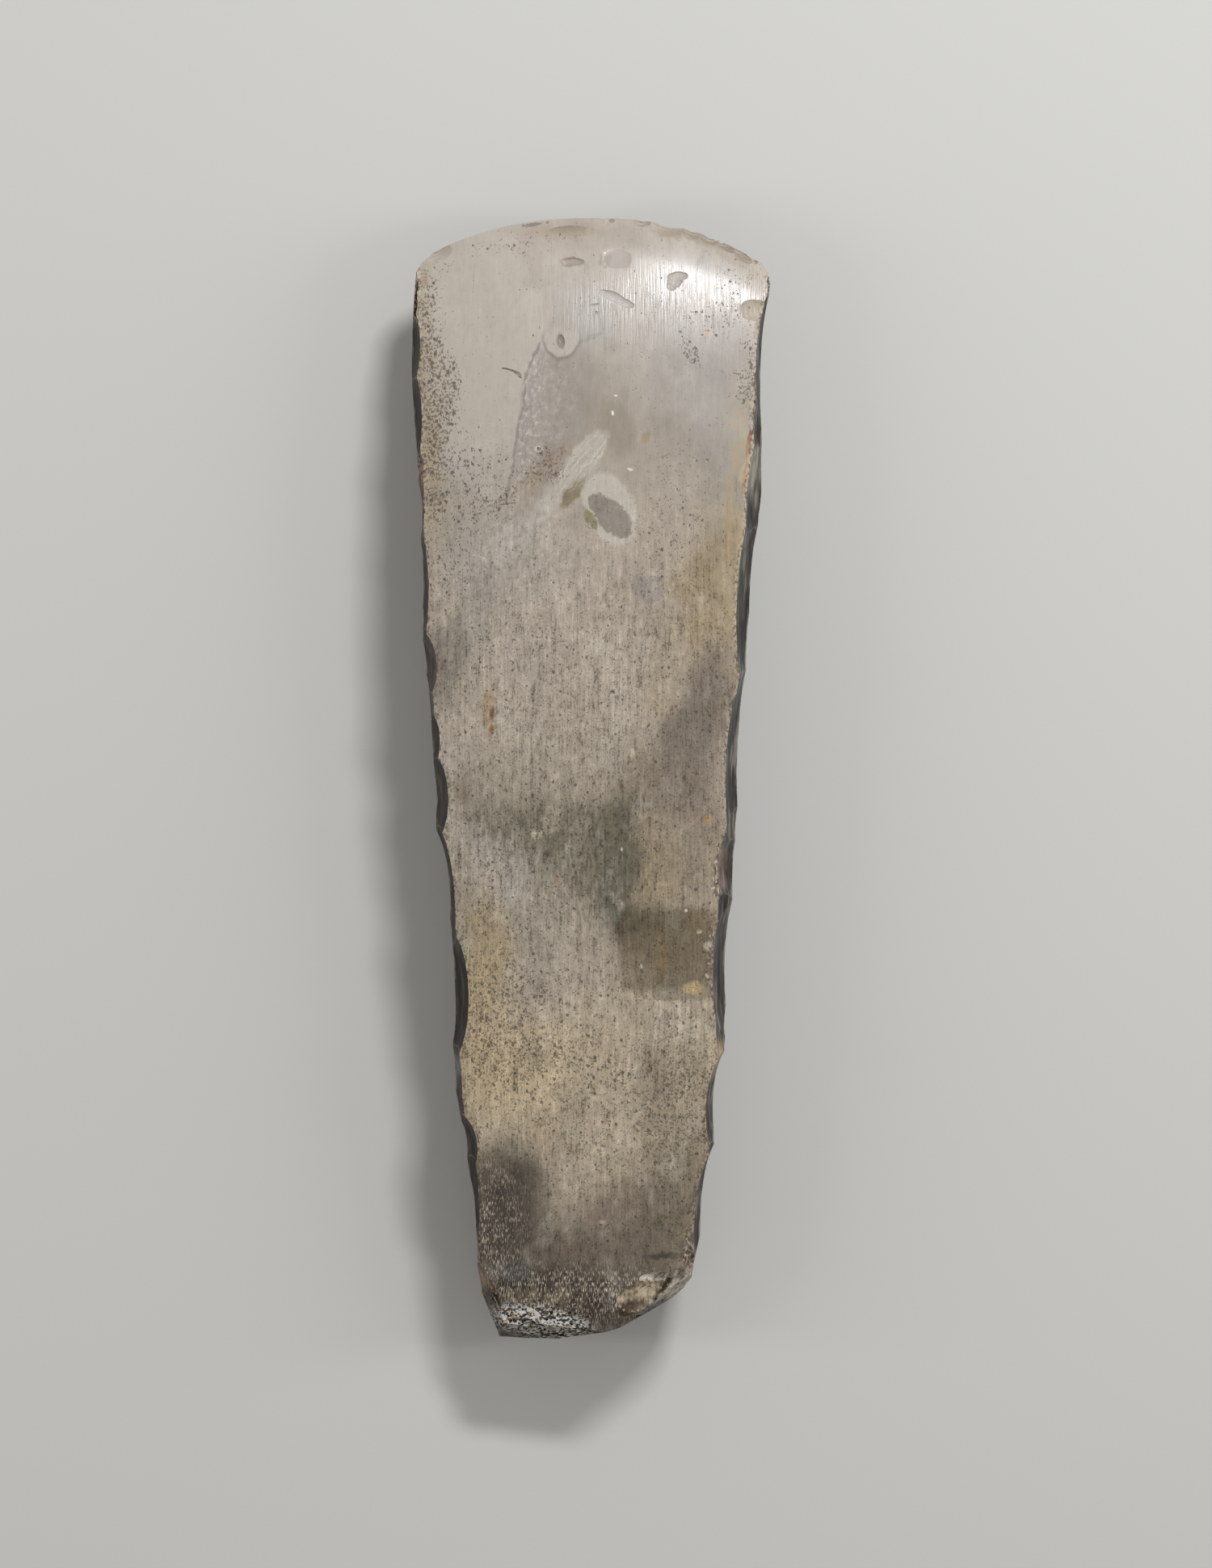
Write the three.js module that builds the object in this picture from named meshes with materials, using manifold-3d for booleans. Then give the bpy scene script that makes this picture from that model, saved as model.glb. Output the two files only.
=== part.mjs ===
// Thin-butted flint axe blade: one struck, flaked and ground stone, lying on its back.
// Millimetres, +Z up. The blade's length runs along Y with the cutting edge towards +Y,
// its width runs along X, and its ground front face looks up.
// The stone starts as a low-crowned blank. Flake scars are cut into its two narrow sides,
// its butt is broken off in facets, and small chips are struck from the front bevel.

import * as THREE from "three";
import { mergeVertices } from "three/addons/utils/BufferGeometryUtils.js";
import Module from "manifold-3d";

// Driving dimensions of the whole blade
const bladeLength = 250;
const bladeWidth = 80.2;
const bodyThickness = 34;
const buttThickness = 11;
const edgeLand = 0.5;

// Rise of the broad faces over their arrises, where the blade is thickest
const crownRise = 5;

// How far the two ends of the cutting edge lie behind its crown
const leftEdgeDrop = 9.4;
const rightEdgeDrop = 11.2;

// How far each narrow side swells out past the arrises that bound it
const leftSideSwell = 1.1;
const rightSideSwell = 3.1;

// Flats ground on the broad faces: one to rest on, and one on each face for a haft
const restFlatDepth = 1;
const haftFlatDepth = 0.35;
const haftSeatDistance = 42;

// Flake scars: length along the arris and depth of the bite in the face's boundary
const scarSpan = 16;
const scarBite = 2.4;

// Chips on the front bevel
const chipLength = 6;
const chipDepth = 0.45;

// Flakes that run up the broad faces from the broken butt
const buttFlakeLength = 18;
const buttFlakeDepth = 3;

const halfLength = bladeLength / 2;
const halfWidth = bladeWidth / 2;
const blankThickness = bodyThickness + restFlatDepth;
const middleHeight = bodyThickness - blankThickness / 2;

// Outlines of the narrow sides: place along the blade from the butt as a share of its
// length, and reach from the centre line as a share of half the width
const leftOutlineShares = [
  [0, 0.6], [0.058, 0.637], [0.085, 0.635], [0.17, 0.7], [0.252, 0.778], [0.286, 0.757],
  [0.372, 0.785], [0.42, 0.853], [0.473, 0.868], [0.545, 0.89], [0.59, 0.914],
  [0.615, 0.962], [0.667, 0.934], [0.732, 0.957], [0.775, 0.966], [0.818, 0.984],
  [0.862, 1], [0.919, 0.992], [0.948, 0.978], [1, 0.955],
];
const rightOutlineShares = [
  [0, 0.53], [0.056, 0.556], [0.098, 0.615], [0.12, 0.69], [0.2, 0.678], [0.228, 0.728],
  [0.25, 0.808], [0.285, 0.772], [0.33, 0.756], [0.365, 0.784], [0.41, 0.785],
  [0.458, 0.82], [0.501, 0.808], [0.54, 0.862], [0.573, 0.93], [0.61, 0.89],
  [0.646, 0.886], [0.69, 0.923], [0.745, 0.944], [0.787, 0.98], [0.815, 0.945],
  [0.847, 0.94], [0.88, 0.975], [0.905, 1], [0.94, 1], [1, 0.99],
];

// How far the front arris lies inside the outline, as shares of the side's swell
const leftInsetShares = [[0, 0.6], [0.2, 1], [0.5, 1], [0.85, 0.9], [0.95, 0.35], [1, 0]];
const rightInsetShares = [
  [0, 0.3], [0.1, 0.42], [0.2, 0.42], [0.26, 1], [0.4, 1], [0.48, 0.8], [0.56, 0.9],
  [0.68, 1.05], [0.77, 0.85], [0.84, 0.45], [0.92, 0.2], [1, 0],
];

// Thickness on the centre line and crown of the broad faces from butt to cutting edge
const thicknessShares = [
  [0.07, 0.5], [0.15, 0.665], [0.25, 0.82], [0.35, 0.925], [0.47, 0.99], [0.56, 1],
  [0.65, 0.98], [0.72, 0.928], [0.8, 0.815], [0.88, 0.63], [0.92, 0.487], [0.96, 0.297],
  [0.98, 0.167],
];
const crownShares = [
  [0, 0.2], [0.15, 0.55], [0.35, 0.9], [0.55, 1], [0.75, 0.8], [0.88, 0.5], [0.96, 0.2],
  [1, 0],
];
const edgeArcPower = 2.35;
const crownPower = 2.2;
const swellPower = 0.8;

// Scars struck from the front arris, from edge to butt: middle along the blade as a share
// of its length, then span, bite and notch in the outline as shares of the scar's sizes
const leftFrontScarShares = [
  [0.886, 1, 0.68, 0.02], [0.817, 1.06, 0.6, 0.05], [0.738, 0.45, 0.5, 0],
  [0.664, 0.85, 0.5, 0.05], [0.63, 0.45, 0.75, 0], [0.598, 0.85, 0.98, 0.02],
  [0.533, 0.6, 0.66, 0.04], [0.482, 1.1, 1.1, 0.04], [0.427, 0.62, 0.6, 0.04],
  [0.379, 1.1, 0.58, 0.1], [0.306, 1.5, 1.1, 0.02], [0.225, 1.02, 0.6, 0.02],
  [0.171, 0.75, 0.95, 0], [0.117, 1.05, 0.5, 0.03],
];
const rightFrontScarShares = [
  [0.856, 0.95, 0.6, 0.05], [0.809, 0.62, 0.7, 0.05], [0.773, 0.7, 1.15, 0],
  [0.726, 1, 1.42, 0.06], [0.682, 0.55, 1.25, 0], [0.639, 1, 1.25, 0.04],
  [0.587, 0.9, 1.3, 0], [0.536, 0.78, 1.22, 0.04], [0.494, 0.95, 1.15, 0.02],
  [0.454, 0.5, 1.2, 0], [0.419, 0.72, 1.62, 0.04], [0.373, 0.95, 1.55, 0],
  [0.324, 0.75, 1.3, 0.04], [0.285, 0.72, 1.4, 0], [0.248, 0.6, 1.35, 0],
  [0.204, 0.8, 0.85, 0.03], [0.148, 1.1, 0.65, 0.03], [0.092, 0.85, 0.6, 0.03],
];

// Scars struck from the back arris step evenly along the blade, and their spans, bites,
// notches and shifts are taken in turn
const backScarCount = 14;
const backScarEndShares = [0.1, 0.9];
const backSpanShares = [1.25, 0.95, 1.4, 1.05, 1.15];
const backBiteShares = [0.75, 1.15, 0.9, 1.3, 0.65, 1];
const backNotchShares = [0.02, 0.05, 0, 0.04];
const backShiftShares = [0, 0.3, -0.25, 0.15, -0.1];

// How far down the narrow side a scar runs, how hollow it is and how far its round form
// is carried on through the air, as shares of its run
const scarReachShares = [0.52, 0.44, 0.6, 0.48, 0.56];
const scarHollowShare = 0.05;
const scarRunRadiusShare = 1.3;
const leastBiteShare = 0.12;

// Chips on the front face: place across and along it, then length across, length along
// and depth as shares of the chip's sizes
const frontChipShares = [
  [0.435, 0.962, 0.85, 0.4, 0.7], [0.562, 0.964, 1.05, 1, 0.9],
  [0.722, 0.95, 0.75, 0.8, 1], [0.962, 0.934, 1.05, 0.85, 1.5],
  [0.975, 0.915, 0.6, 0.85, 1.3], [0.565, 0.926, 1.2, 0.5, 0.5],
  [0.7, 0.993, 0.95, 0.45, 1.1], [0.79, 0.993, 0.75, 0.4, 1], [0.02, 0.985, 0.9, 1, 1.8],
];
const chipRoundnessShare = 4;

// Facets of the broken butt: a point on each at the blade's middle height, as shares of
// half the width and of the length, the way the facet faces in plan and how far it leans
// to the front, in degrees
const buttFacets = [
  { acrossShare: -0.56, alongShare: 0.0317, heading: -160, lean: 12 },
  { acrossShare: -0.335, alongShare: 0.0055, heading: -96, lean: 22 },
  { acrossShare: 0.106, alongShare: 0.0135, heading: -71, lean: -9 },
  { acrossShare: 0.44, alongShare: 0.041, heading: -50, lean: 14 },
];

// Flakes up the broad faces from the butt: place across the blade as a share of half the
// width, then length, width and depth as shares of the butt flake's sizes
const buttFlakes = [
  { isFront: true, acrossShare: -0.3, sizeShares: [0.95, 1.45, 1] },
  { isFront: true, acrossShare: 0.36, sizeShares: [0.75, 0.9, 0.8] },
  { isFront: true, acrossShare: 0.06, sizeShares: [0.55, 1.1, 0.7] },
  { isFront: false, acrossShare: 0.14, sizeShares: [1.3, 1.5, 1] },
  { isFront: false, acrossShare: -0.4, sizeShares: [0.9, 1.1, 0.8] },
];
const buttFlakeRoundnessShare = 4;

// Fineness of the surfaces
const rowCount = 36;
const faceColumns = 12;
const sideColumns = 4;
const cutterSpokes = 14;
const cutterRings = 10;
const rowCrowding = 0.35;
const slopeStepShare = 0.01;

const wasm = await Module();
wasm.setup();

// A smooth curve through pairs of place and value
function curveThrough(pairs) {
  const last = pairs.length - 1;
  const slopeAt = (index) => {
    const [placeBefore, valueBefore] = pairs[Math.max(index - 1, 0)];
    const [placeAfter, valueAfter] = pairs[Math.min(index + 1, last)];
    return (valueAfter - valueBefore) / (placeAfter - placeBefore);
  };
  return (place) => {
    const inside = THREE.MathUtils.clamp(place, pairs[0][0], pairs[last][0]);
    const found = pairs.findIndex((pair) => pair[0] > inside);
    const next = found < 0 ? last : found;
    const [startPlace, startValue] = pairs[next - 1];
    const [endPlace, endValue] = pairs[next];
    const gap = endPlace - startPlace;
    const share = (inside - startPlace) / gap;
    const left = 1 - share;
    const level = startValue + (endValue - startValue) * share * share * (3 - 2 * share);
    const swing = left * slopeAt(next - 1) - share * slopeAt(next);
    return level + share * left * swing * gap;
  };
}

const leftOutline = curveThrough(leftOutlineShares);
const rightOutline = curveThrough(rightOutlineShares);
const leftInset = curveThrough(leftInsetShares);
const rightInset = curveThrough(rightInsetShares);
const crownAlong = curveThrough(crownShares);
const thicknessAlong = curveThrough([
  [0, buttThickness / blankThickness],
  ...thicknessShares,
  [1, edgeLand / blankThickness],
]);

// Rows run across the blade, at a share of the way from the butt to the cutting edge.
// Across a row, 0 is the left arris and 1 is the right one.
function rowLength(across) {
  const fromMiddle = 2 * across - 1;
  const drop = fromMiddle < 0 ? leftEdgeDrop : rightEdgeDrop;
  return bladeLength - drop * Math.abs(fromMiddle) ** edgeArcPower;
}

function sideAt(isRight, along) {
  const y = along * rowLength(isRight ? 1 : 0) - halfLength;
  const place = (y + halfLength) / bladeLength;
  return {
    y,
    outward: isRight ? 1 : -1,
    reach: halfWidth * (isRight ? rightOutline(place) : leftOutline(place)),
    inset: isRight ? rightSideSwell * rightInset(place) : leftSideSwell * leftInset(place),
  };
}

function halfSideHeight(along) {
  return (blankThickness * thicknessAlong(along)) / 2 - crownRise * crownAlong(along);
}

function facePoint(isFront, across, along) {
  const left = sideAt(false, along);
  const right = sideAt(true, along);
  const fromMiddle = Math.abs(2 * across - 1);
  const crown = crownRise * crownAlong(along) * (1 - fromMiddle ** crownPower);
  const lift = halfSideHeight(along) + crown;
  return new THREE.Vector3(
    THREE.MathUtils.lerp(left.inset - left.reach, right.reach - right.inset, across),
    along * rowLength(across) - halfLength,
    isFront ? middleHeight + lift : middleHeight - lift,
  );
}

// Down a narrow side, 0 is the front arris and 1 is the back one
function sidePoint(isRight, down, along) {
  const side = sideAt(isRight, along);
  const hollow = side.inset * (1 - Math.sin(Math.PI * down) ** swellPower);
  return new THREE.Vector3(
    side.outward * (side.reach - hollow),
    side.y,
    middleHeight + halfSideHeight(along) * (1 - 2 * down),
  );
}

function faceNormal(isFront, across, along) {
  const here = facePoint(isFront, across, along);
  const right = facePoint(isFront, across + slopeStepShare, along).sub(here);
  const forward = here.clone().sub(facePoint(isFront, across, along - slopeStepShare));
  const normal = right.cross(forward).normalize();
  return isFront ? normal : normal.negate();
}

// A closed surface becomes a solid once its shared corners are merged
function solidFrom(geometry) {
  geometry.deleteAttribute("normal");
  geometry.deleteAttribute("uv");
  const merged = mergeVertices(geometry);
  return new wasm.Manifold(new wasm.Mesh({
    numProp: 3,
    vertProperties: new Float32Array(merged.attributes.position.array),
    triVerts: new Uint32Array(merged.index.array),
  }));
}

// The blank's skin goes round its faces and sides row by row, and both ends are closed
function blankSolid() {
  const corners = [];
  const triangles = [];
  const backStart = faceColumns + sideColumns;
  const ringLength = 2 * backStart;
  const addCorner = (point) => corners.push(point.x, point.y, point.z);
  for (let row = 0; row <= rowCount; row += 1) {
    const share = row / rowCount;
    const along = share * (1 + rowCrowding * (1 - share));
    for (let column = 0; column <= faceColumns; column += 1) {
      addCorner(facePoint(true, column / faceColumns, along));
    }
    for (let column = 1; column < sideColumns; column += 1) {
      addCorner(sidePoint(true, column / sideColumns, along));
    }
    for (let column = faceColumns; column >= 0; column -= 1) {
      addCorner(facePoint(false, column / faceColumns, along));
    }
    for (let column = sideColumns - 1; column > 0; column -= 1) {
      addCorner(sidePoint(false, column / sideColumns, along));
    }
  }
  for (let row = 0; row < rowCount; row += 1) {
    for (let step = 0; step < ringLength; step += 1) {
      const here = row * ringLength + step;
      const beside = row * ringLength + ((step + 1) % ringLength);
      triangles.push(here, beside, beside + ringLength);
      triangles.push(here, beside + ringLength, here + ringLength);
    }
  }
  const closeEnd = (start, isButt) => {
    const add = (a, b, c) => {
      const order = isButt ? [a, b, c] : [a, c, b];
      triangles.push(...order.map((corner) => start + corner));
    };
    for (let column = 0; column < faceColumns; column += 1) {
      const below = backStart + faceColumns - column;
      add(column, below, below - 1);
      add(column, below - 1, column + 1);
    }
    for (let column = faceColumns + 1; column < backStart; column += 1) {
      add(faceColumns, column + 1, column);
    }
    for (let column = backStart + faceColumns; column < ringLength - 1; column += 1) {
      add(0, column + 1, column);
    }
  };
  closeEnd(0, true);
  closeEnd(rowCount * ringLength, false);
  const geometry = new THREE.BufferGeometry();
  geometry.setAttribute("position", new THREE.Float32BufferAttribute(corners, 3));
  geometry.setIndex(triangles);
  return solidFrom(geometry);
}

// A rounded cutter with its pole on the outward direction, reaching its radii along the
// span, the outward direction and the run
function roundCutter({ centre, outward, run, spanRadius, depthRadius, runRadius }) {
  const geometry = new THREE.SphereGeometry(1, cutterSpokes, cutterRings);
  geometry.scale(spanRadius, depthRadius, runRadius);
  const along = outward.clone().cross(run);
  geometry.applyMatrix4(new THREE.Matrix4().makeBasis(along, outward, run));
  geometry.translate(centre.x, centre.y, centre.z);
  return solidFrom(geometry);
}

// A flake scar on a narrow side. It starts at the arris, which it bites over its span,
// and runs down the side in a shallow hollow until it comes out at the side's ridge.
function scarCutter({ isRight, isFront, place, span, bite, notch, reachShare }) {
  const along = (place * bladeLength) / rowLength(isRight ? 1 : 0);
  const side = sideAt(isRight, along);
  const half = halfSideHeight(along);
  const upward = isFront ? 1 : -1;
  const cut = Math.max(bite - side.inset, leastBiteShare * scarBite);
  const struck = new THREE.Vector3(
    side.outward * (side.reach - side.inset - cut),
    side.y,
    middleHeight + upward * half,
  );
  const ended = new THREE.Vector3(
    side.outward * (side.reach - notch),
    side.y,
    middleHeight + upward * half * (1 - 2 * reachShare),
  );
  const run = ended.clone().sub(struck);
  const runLength = run.length();
  run.normalize();
  const outward = new THREE.Vector3(side.outward, 0, 0);
  outward.addScaledVector(run, -outward.dot(run)).normalize();
  const roundness = Math.sqrt(1 - (1 / (2 * scarRunRadiusShare)) ** 2);
  const depthRadius = (scarHollowShare * runLength) / (1 - roundness);
  const sliceDepth = depthRadius * roundness;
  const sliceShare = Math.sqrt(1 - (1 - Math.min(cut / sliceDepth, 1)) ** 2);
  const centre = struck.add(ended).divideScalar(2);
  centre.addScaledVector(outward, sliceDepth);
  return roundCutter({
    centre,
    outward,
    run,
    spanRadius: span / (2 * roundness * sliceShare),
    depthRadius,
    runRadius: scarRunRadiusShare * runLength,
  });
}

function frontScars(isRight, rows) {
  return rows.map(([place, spanShare, biteShare, notchShare], index) => scarCutter({
    isRight,
    isFront: true,
    place,
    span: scarSpan * spanShare,
    bite: scarBite * biteShare,
    notch: scarBite * notchShare,
    reachShare: scarReachShares[index % scarReachShares.length],
  }));
}

function backScars(isRight) {
  const [first, last] = backScarEndShares;
  const step = (last - first) / (backScarCount - 1);
  const inTurn = (shares, index) => shares[index % shares.length];
  return Array.from({ length: backScarCount }, (_, index) => {
    const turn = isRight ? index : index + 2;
    return scarCutter({
      isRight,
      isFront: false,
      place: first + step * (index + inTurn(backShiftShares, turn)),
      span: scarSpan * inTurn(backSpanShares, turn),
      bite: scarBite * inTurn(backBiteShares, turn),
      notch: scarBite * inTurn(backNotchShares, turn),
      reachShare: inTurn(scarReachShares, turn),
    });
  });
}

// A small round chip sunk into the front face
function frontChip([across, along, lengthShare, widthShare, depthShare]) {
  const outward = faceNormal(true, across, along);
  const depth = chipDepth * depthShare;
  const depthRadius = chipRoundnessShare * depth;
  const rimShare = Math.sqrt(1 - (1 - 1 / chipRoundnessShare) ** 2);
  const run = new THREE.Vector3(0, 1, 0);
  run.addScaledVector(outward, -outward.dot(run)).normalize();
  const centre = facePoint(true, across, along);
  centre.addScaledVector(outward, depthRadius - depth);
  return roundCutter({
    centre,
    outward,
    run,
    spanRadius: (chipLength * lengthShare) / (2 * rimShare),
    depthRadius,
    runRadius: (chipLength * widthShare) / (2 * rimShare),
  });
}

// A flake that runs up a broad face from the broken butt and thins it there
function buttFlake({ isFront, acrossShare, sizeShares }) {
  const [lengthShare, widthShare, depthShare] = sizeShares;
  const depth = buttFlakeDepth * depthShare;
  const depthRadius = buttFlakeRoundnessShare * depth;
  const rimShare = Math.sqrt(1 - (1 - 1 / buttFlakeRoundnessShare) ** 2);
  const across = (acrossShare / rightOutline(0) + 1) / 2;
  const outward = faceNormal(isFront, across, 0);
  const run = new THREE.Vector3(0, 1, 0);
  run.addScaledVector(outward, -outward.dot(run)).normalize();
  const centre = facePoint(isFront, across, 0);
  centre.addScaledVector(outward, depthRadius - depth);
  return roundCutter({
    centre,
    outward,
    run,
    spanRadius: (buttFlakeLength * widthShare) / (2 * rimShare),
    depthRadius,
    runRadius: (buttFlakeLength * lengthShare) / rimShare,
  });
}

// Everything on the outer side of a plane is cut away
function planeCutter(point, normal) {
  const size = 2 * bladeLength;
  const geometry = new THREE.BoxGeometry(size, size, size);
  geometry.translate(0, 0, size / 2);
  const up = new THREE.Vector3(0, 0, 1);
  geometry.applyQuaternion(new THREE.Quaternion().setFromUnitVectors(up, normal));
  geometry.translate(point.x, point.y, point.z);
  return solidFrom(geometry);
}

function buttFacetCutter({ acrossShare, alongShare, heading, lean }) {
  const turn = THREE.MathUtils.degToRad(heading);
  const tip = THREE.MathUtils.degToRad(lean);
  const normal = new THREE.Vector3(
    Math.cos(turn) * Math.cos(tip),
    Math.sin(turn) * Math.cos(tip),
    Math.sin(tip),
  );
  const point = new THREE.Vector3(
    halfWidth * acrossShare,
    bladeLength * alongShare - halfLength,
    middleHeight,
  );
  return planeCutter(point, normal);
}

function haftFlatCutter(isFront) {
  const along = haftSeatDistance / bladeLength;
  const normal = faceNormal(isFront, 0.5, along);
  const point = facePoint(isFront, 0.5, along).addScaledVector(normal, -haftFlatDepth);
  return planeCutter(point, normal);
}

const restFlatCutter = planeCutter(new THREE.Vector3(), new THREE.Vector3(0, 0, -1));

const blade = [
  restFlatCutter,
  haftFlatCutter(true),
  haftFlatCutter(false),
  ...frontScars(false, leftFrontScarShares),
  ...frontScars(true, rightFrontScarShares),
  ...backScars(false),
  ...backScars(true),
  ...frontChipShares.map(frontChip),
  ...buttFlakes.map(buttFlake),
  ...buttFacets.map(buttFacetCutter),
].reduce((stone, cutter) => stone.subtract(cutter), blankSolid());

// Ground flint: pale warm grey with a satin polish
const flint = new THREE.MeshStandardMaterial({
  color: 0xa2978a,
  roughness: 0.42,
  metalness: 0,
});

function meshFrom(solid, material, name) {
  const { vertProperties, triVerts } = solid.getMesh();
  const geometry = new THREE.BufferGeometry();
  geometry.setAttribute("position", new THREE.Float32BufferAttribute(vertProperties, 3));
  geometry.setIndex(Array.from(triVerts));
  geometry.computeVertexNormals();
  const mesh = new THREE.Mesh(geometry, material);
  mesh.name = name;
  return mesh;
}

const flintBlade = meshFrom(blade, flint, "flint_blade");
const extent = new THREE.Box3().setFromObject(flintBlade);
const middle = extent.getCenter(new THREE.Vector3());
flintBlade.position.set(-middle.x, -middle.y, -extent.min.z);

const axe = new THREE.Group();
axe.name = "thin_butted_axe";
axe.add(flintBlade);

export default axe;
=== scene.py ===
# A thin-butted flint axe blade lies on its back on a pale table under soft studio light.
# The loaded model gives the blade's size and place; its stone is remade here finely.

import math

import bmesh
import bpy
import numpy as np
from mathutils import Matrix, Vector
from mathutils.kdtree import KDTree
from mathutils.noise import seed_set, turbulence_vector


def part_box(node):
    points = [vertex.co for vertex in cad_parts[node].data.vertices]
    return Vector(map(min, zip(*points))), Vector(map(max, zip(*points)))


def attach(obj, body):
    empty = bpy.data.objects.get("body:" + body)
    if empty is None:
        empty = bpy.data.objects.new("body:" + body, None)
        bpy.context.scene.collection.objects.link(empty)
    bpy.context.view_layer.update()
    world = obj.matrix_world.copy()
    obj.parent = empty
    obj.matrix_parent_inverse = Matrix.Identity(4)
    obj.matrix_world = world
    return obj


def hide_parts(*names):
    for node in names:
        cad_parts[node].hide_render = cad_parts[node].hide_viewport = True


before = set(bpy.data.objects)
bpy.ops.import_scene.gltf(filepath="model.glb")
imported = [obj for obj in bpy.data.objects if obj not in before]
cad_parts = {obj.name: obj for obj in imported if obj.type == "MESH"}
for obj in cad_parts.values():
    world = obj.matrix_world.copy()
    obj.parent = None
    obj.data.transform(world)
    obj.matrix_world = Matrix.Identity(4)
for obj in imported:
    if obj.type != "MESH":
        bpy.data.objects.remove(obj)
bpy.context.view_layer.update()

# The blank. The blade was struck from one flint nodule and flaked to a long low-crowned
# bar with two broad faces and two narrow sides, which thins to the butt and to the edge.
# Lengths are in millimetres until the finished stone is set down in metres.
mm = 0.001
cad_low, cad_high = (np.array(corner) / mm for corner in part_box("flint_blade"))
blade_length = cad_high[1] - cad_low[1]
half_width = (cad_high[0] - cad_low[0]) / 2
body_thickness = cad_high[2] - cad_low[2]
rest_flat_depth = 1
blank_thickness = body_thickness + rest_flat_depth
middle_height = body_thickness - blank_thickness / 2
butt_thickness = 11
edge_land = 0.4
crown_rise = 5
left_edge_drop, right_edge_drop = 9.4, 11.2
left_side_swell, right_side_swell = 1.1, 3.1

# Places along the blade are shares of its length from the butt
left_outline_shares = (
    (0, 0.6), (0.058, 0.637), (0.085, 0.635), (0.17, 0.7), (0.252, 0.778), (0.286, 0.757),
    (0.372, 0.785), (0.42, 0.853), (0.473, 0.868), (0.545, 0.89), (0.59, 0.914),
    (0.615, 0.962), (0.667, 0.934), (0.732, 0.957), (0.775, 0.966), (0.818, 0.984),
    (0.862, 1), (0.919, 0.992), (0.948, 0.978), (1, 0.955),
)
right_outline_shares = (
    (0, 0.53), (0.056, 0.556), (0.098, 0.615), (0.12, 0.69), (0.2, 0.678), (0.228, 0.728),
    (0.25, 0.808), (0.285, 0.772), (0.33, 0.756), (0.365, 0.784), (0.41, 0.785),
    (0.458, 0.82), (0.501, 0.808), (0.54, 0.862), (0.573, 0.93), (0.61, 0.89),
    (0.646, 0.886), (0.69, 0.923), (0.745, 0.944), (0.787, 0.98), (0.815, 0.945),
    (0.847, 0.94), (0.88, 0.975), (0.905, 1), (0.94, 1), (1, 0.99),
)
left_inset_shares = ((0, 0.6), (0.2, 1), (0.5, 1), (0.85, 0.9), (0.95, 0.35), (1, 0))
right_inset_shares = (
    (0, 0.3), (0.1, 0.42), (0.2, 0.42), (0.26, 1), (0.4, 1), (0.48, 0.8), (0.56, 0.9),
    (0.68, 1.05), (0.77, 0.85), (0.84, 0.45), (0.92, 0.2), (1, 0),
)
thickness_shares = (
    (0, butt_thickness / blank_thickness), (0.07, 0.5), (0.15, 0.665), (0.25, 0.82),
    (0.35, 0.925), (0.47, 0.99), (0.56, 1), (0.65, 0.98), (0.72, 0.928), (0.8, 0.815),
    (0.88, 0.63), (0.92, 0.487), (0.96, 0.297), (0.98, 0.167),
    (1, edge_land / blank_thickness),
)
crown_shares = (
    (0, 0.2), (0.15, 0.55), (0.35, 0.9), (0.55, 1), (0.75, 0.8), (0.88, 0.5), (0.96, 0.2),
    (1, 0),
)
edge_arc_power, crown_power, swell_power = 2.35, 2.2, 0.8

# Rows of the skin crowd towards the cutting edge, where the blade curves most
edge_crowding = 0.35


def along_curve(pairs, place):
    """The smooth curve through pairs of place and value, read at many places."""
    places, values = np.array(pairs, dtype=float).T
    before = np.maximum(np.arange(len(places)) - 1, 0)
    after = np.minimum(np.arange(len(places)) + 1, len(places) - 1)
    slopes = (values[after] - values[before]) / (places[after] - places[before])
    inside = np.clip(place, places[0], places[-1])
    end = np.clip(np.searchsorted(places, inside, side="right"), 1, len(places) - 1)
    start = end - 1
    gap = places[end] - places[start]
    share = (inside - places[start]) / gap
    left = 1 - share
    level = values[start] + (values[end] - values[start]) * share**2 * (3 - 2 * share)
    return level + share * left * (left * slopes[start] - share * slopes[end]) * gap


def row_length(across):
    drop = np.where(np.less(across, 0.5), left_edge_drop, right_edge_drop)
    return blade_length - drop * np.abs(2 * across - 1) ** edge_arc_power


def side_at(is_right, along):
    """Place along the blade, reach from the middle and arris inset of a narrow side."""
    y = along * row_length(float(is_right)) - blade_length / 2
    place = y / blade_length + 0.5
    outline = right_outline_shares if is_right else left_outline_shares
    inset = right_inset_shares if is_right else left_inset_shares
    swell = right_side_swell if is_right else left_side_swell
    return y, half_width * along_curve(outline, place), swell * along_curve(inset, place)


def half_side_height(along):
    half = blank_thickness * along_curve(thickness_shares, along) / 2
    return half - crown_rise * along_curve(crown_shares, along)


def face_point(is_front, across, along):
    """A point of a broad face; across runs from 0 at the left arris to 1 at the right."""
    _, left_reach, left_inset = side_at(False, along)
    _, right_reach, right_inset = side_at(True, along)
    left_x = left_inset - left_reach
    x = left_x + (right_reach - right_inset - left_x) * across
    y = along * row_length(across) - blade_length / 2
    crown = crown_rise * along_curve(crown_shares, along)
    lift = half_side_height(along) + crown * (1 - np.abs(2 * across - 1) ** crown_power)
    z = middle_height + (lift if is_front else -lift)
    return np.stack(np.broadcast_arrays(x, y, z), -1)


def side_point(is_right, down, along):
    """A point of a narrow side; down runs from 0 at the front arris to 1 at the back."""
    y, reach, inset = side_at(is_right, along)
    hollow = inset * (1 - np.sin(np.pi * down) ** swell_power)
    x = (reach - hollow) * (1 if is_right else -1)
    z = middle_height + half_side_height(along) * (1 - 2 * down)
    return np.stack(np.broadcast_arrays(x, y, z), -1)


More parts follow.
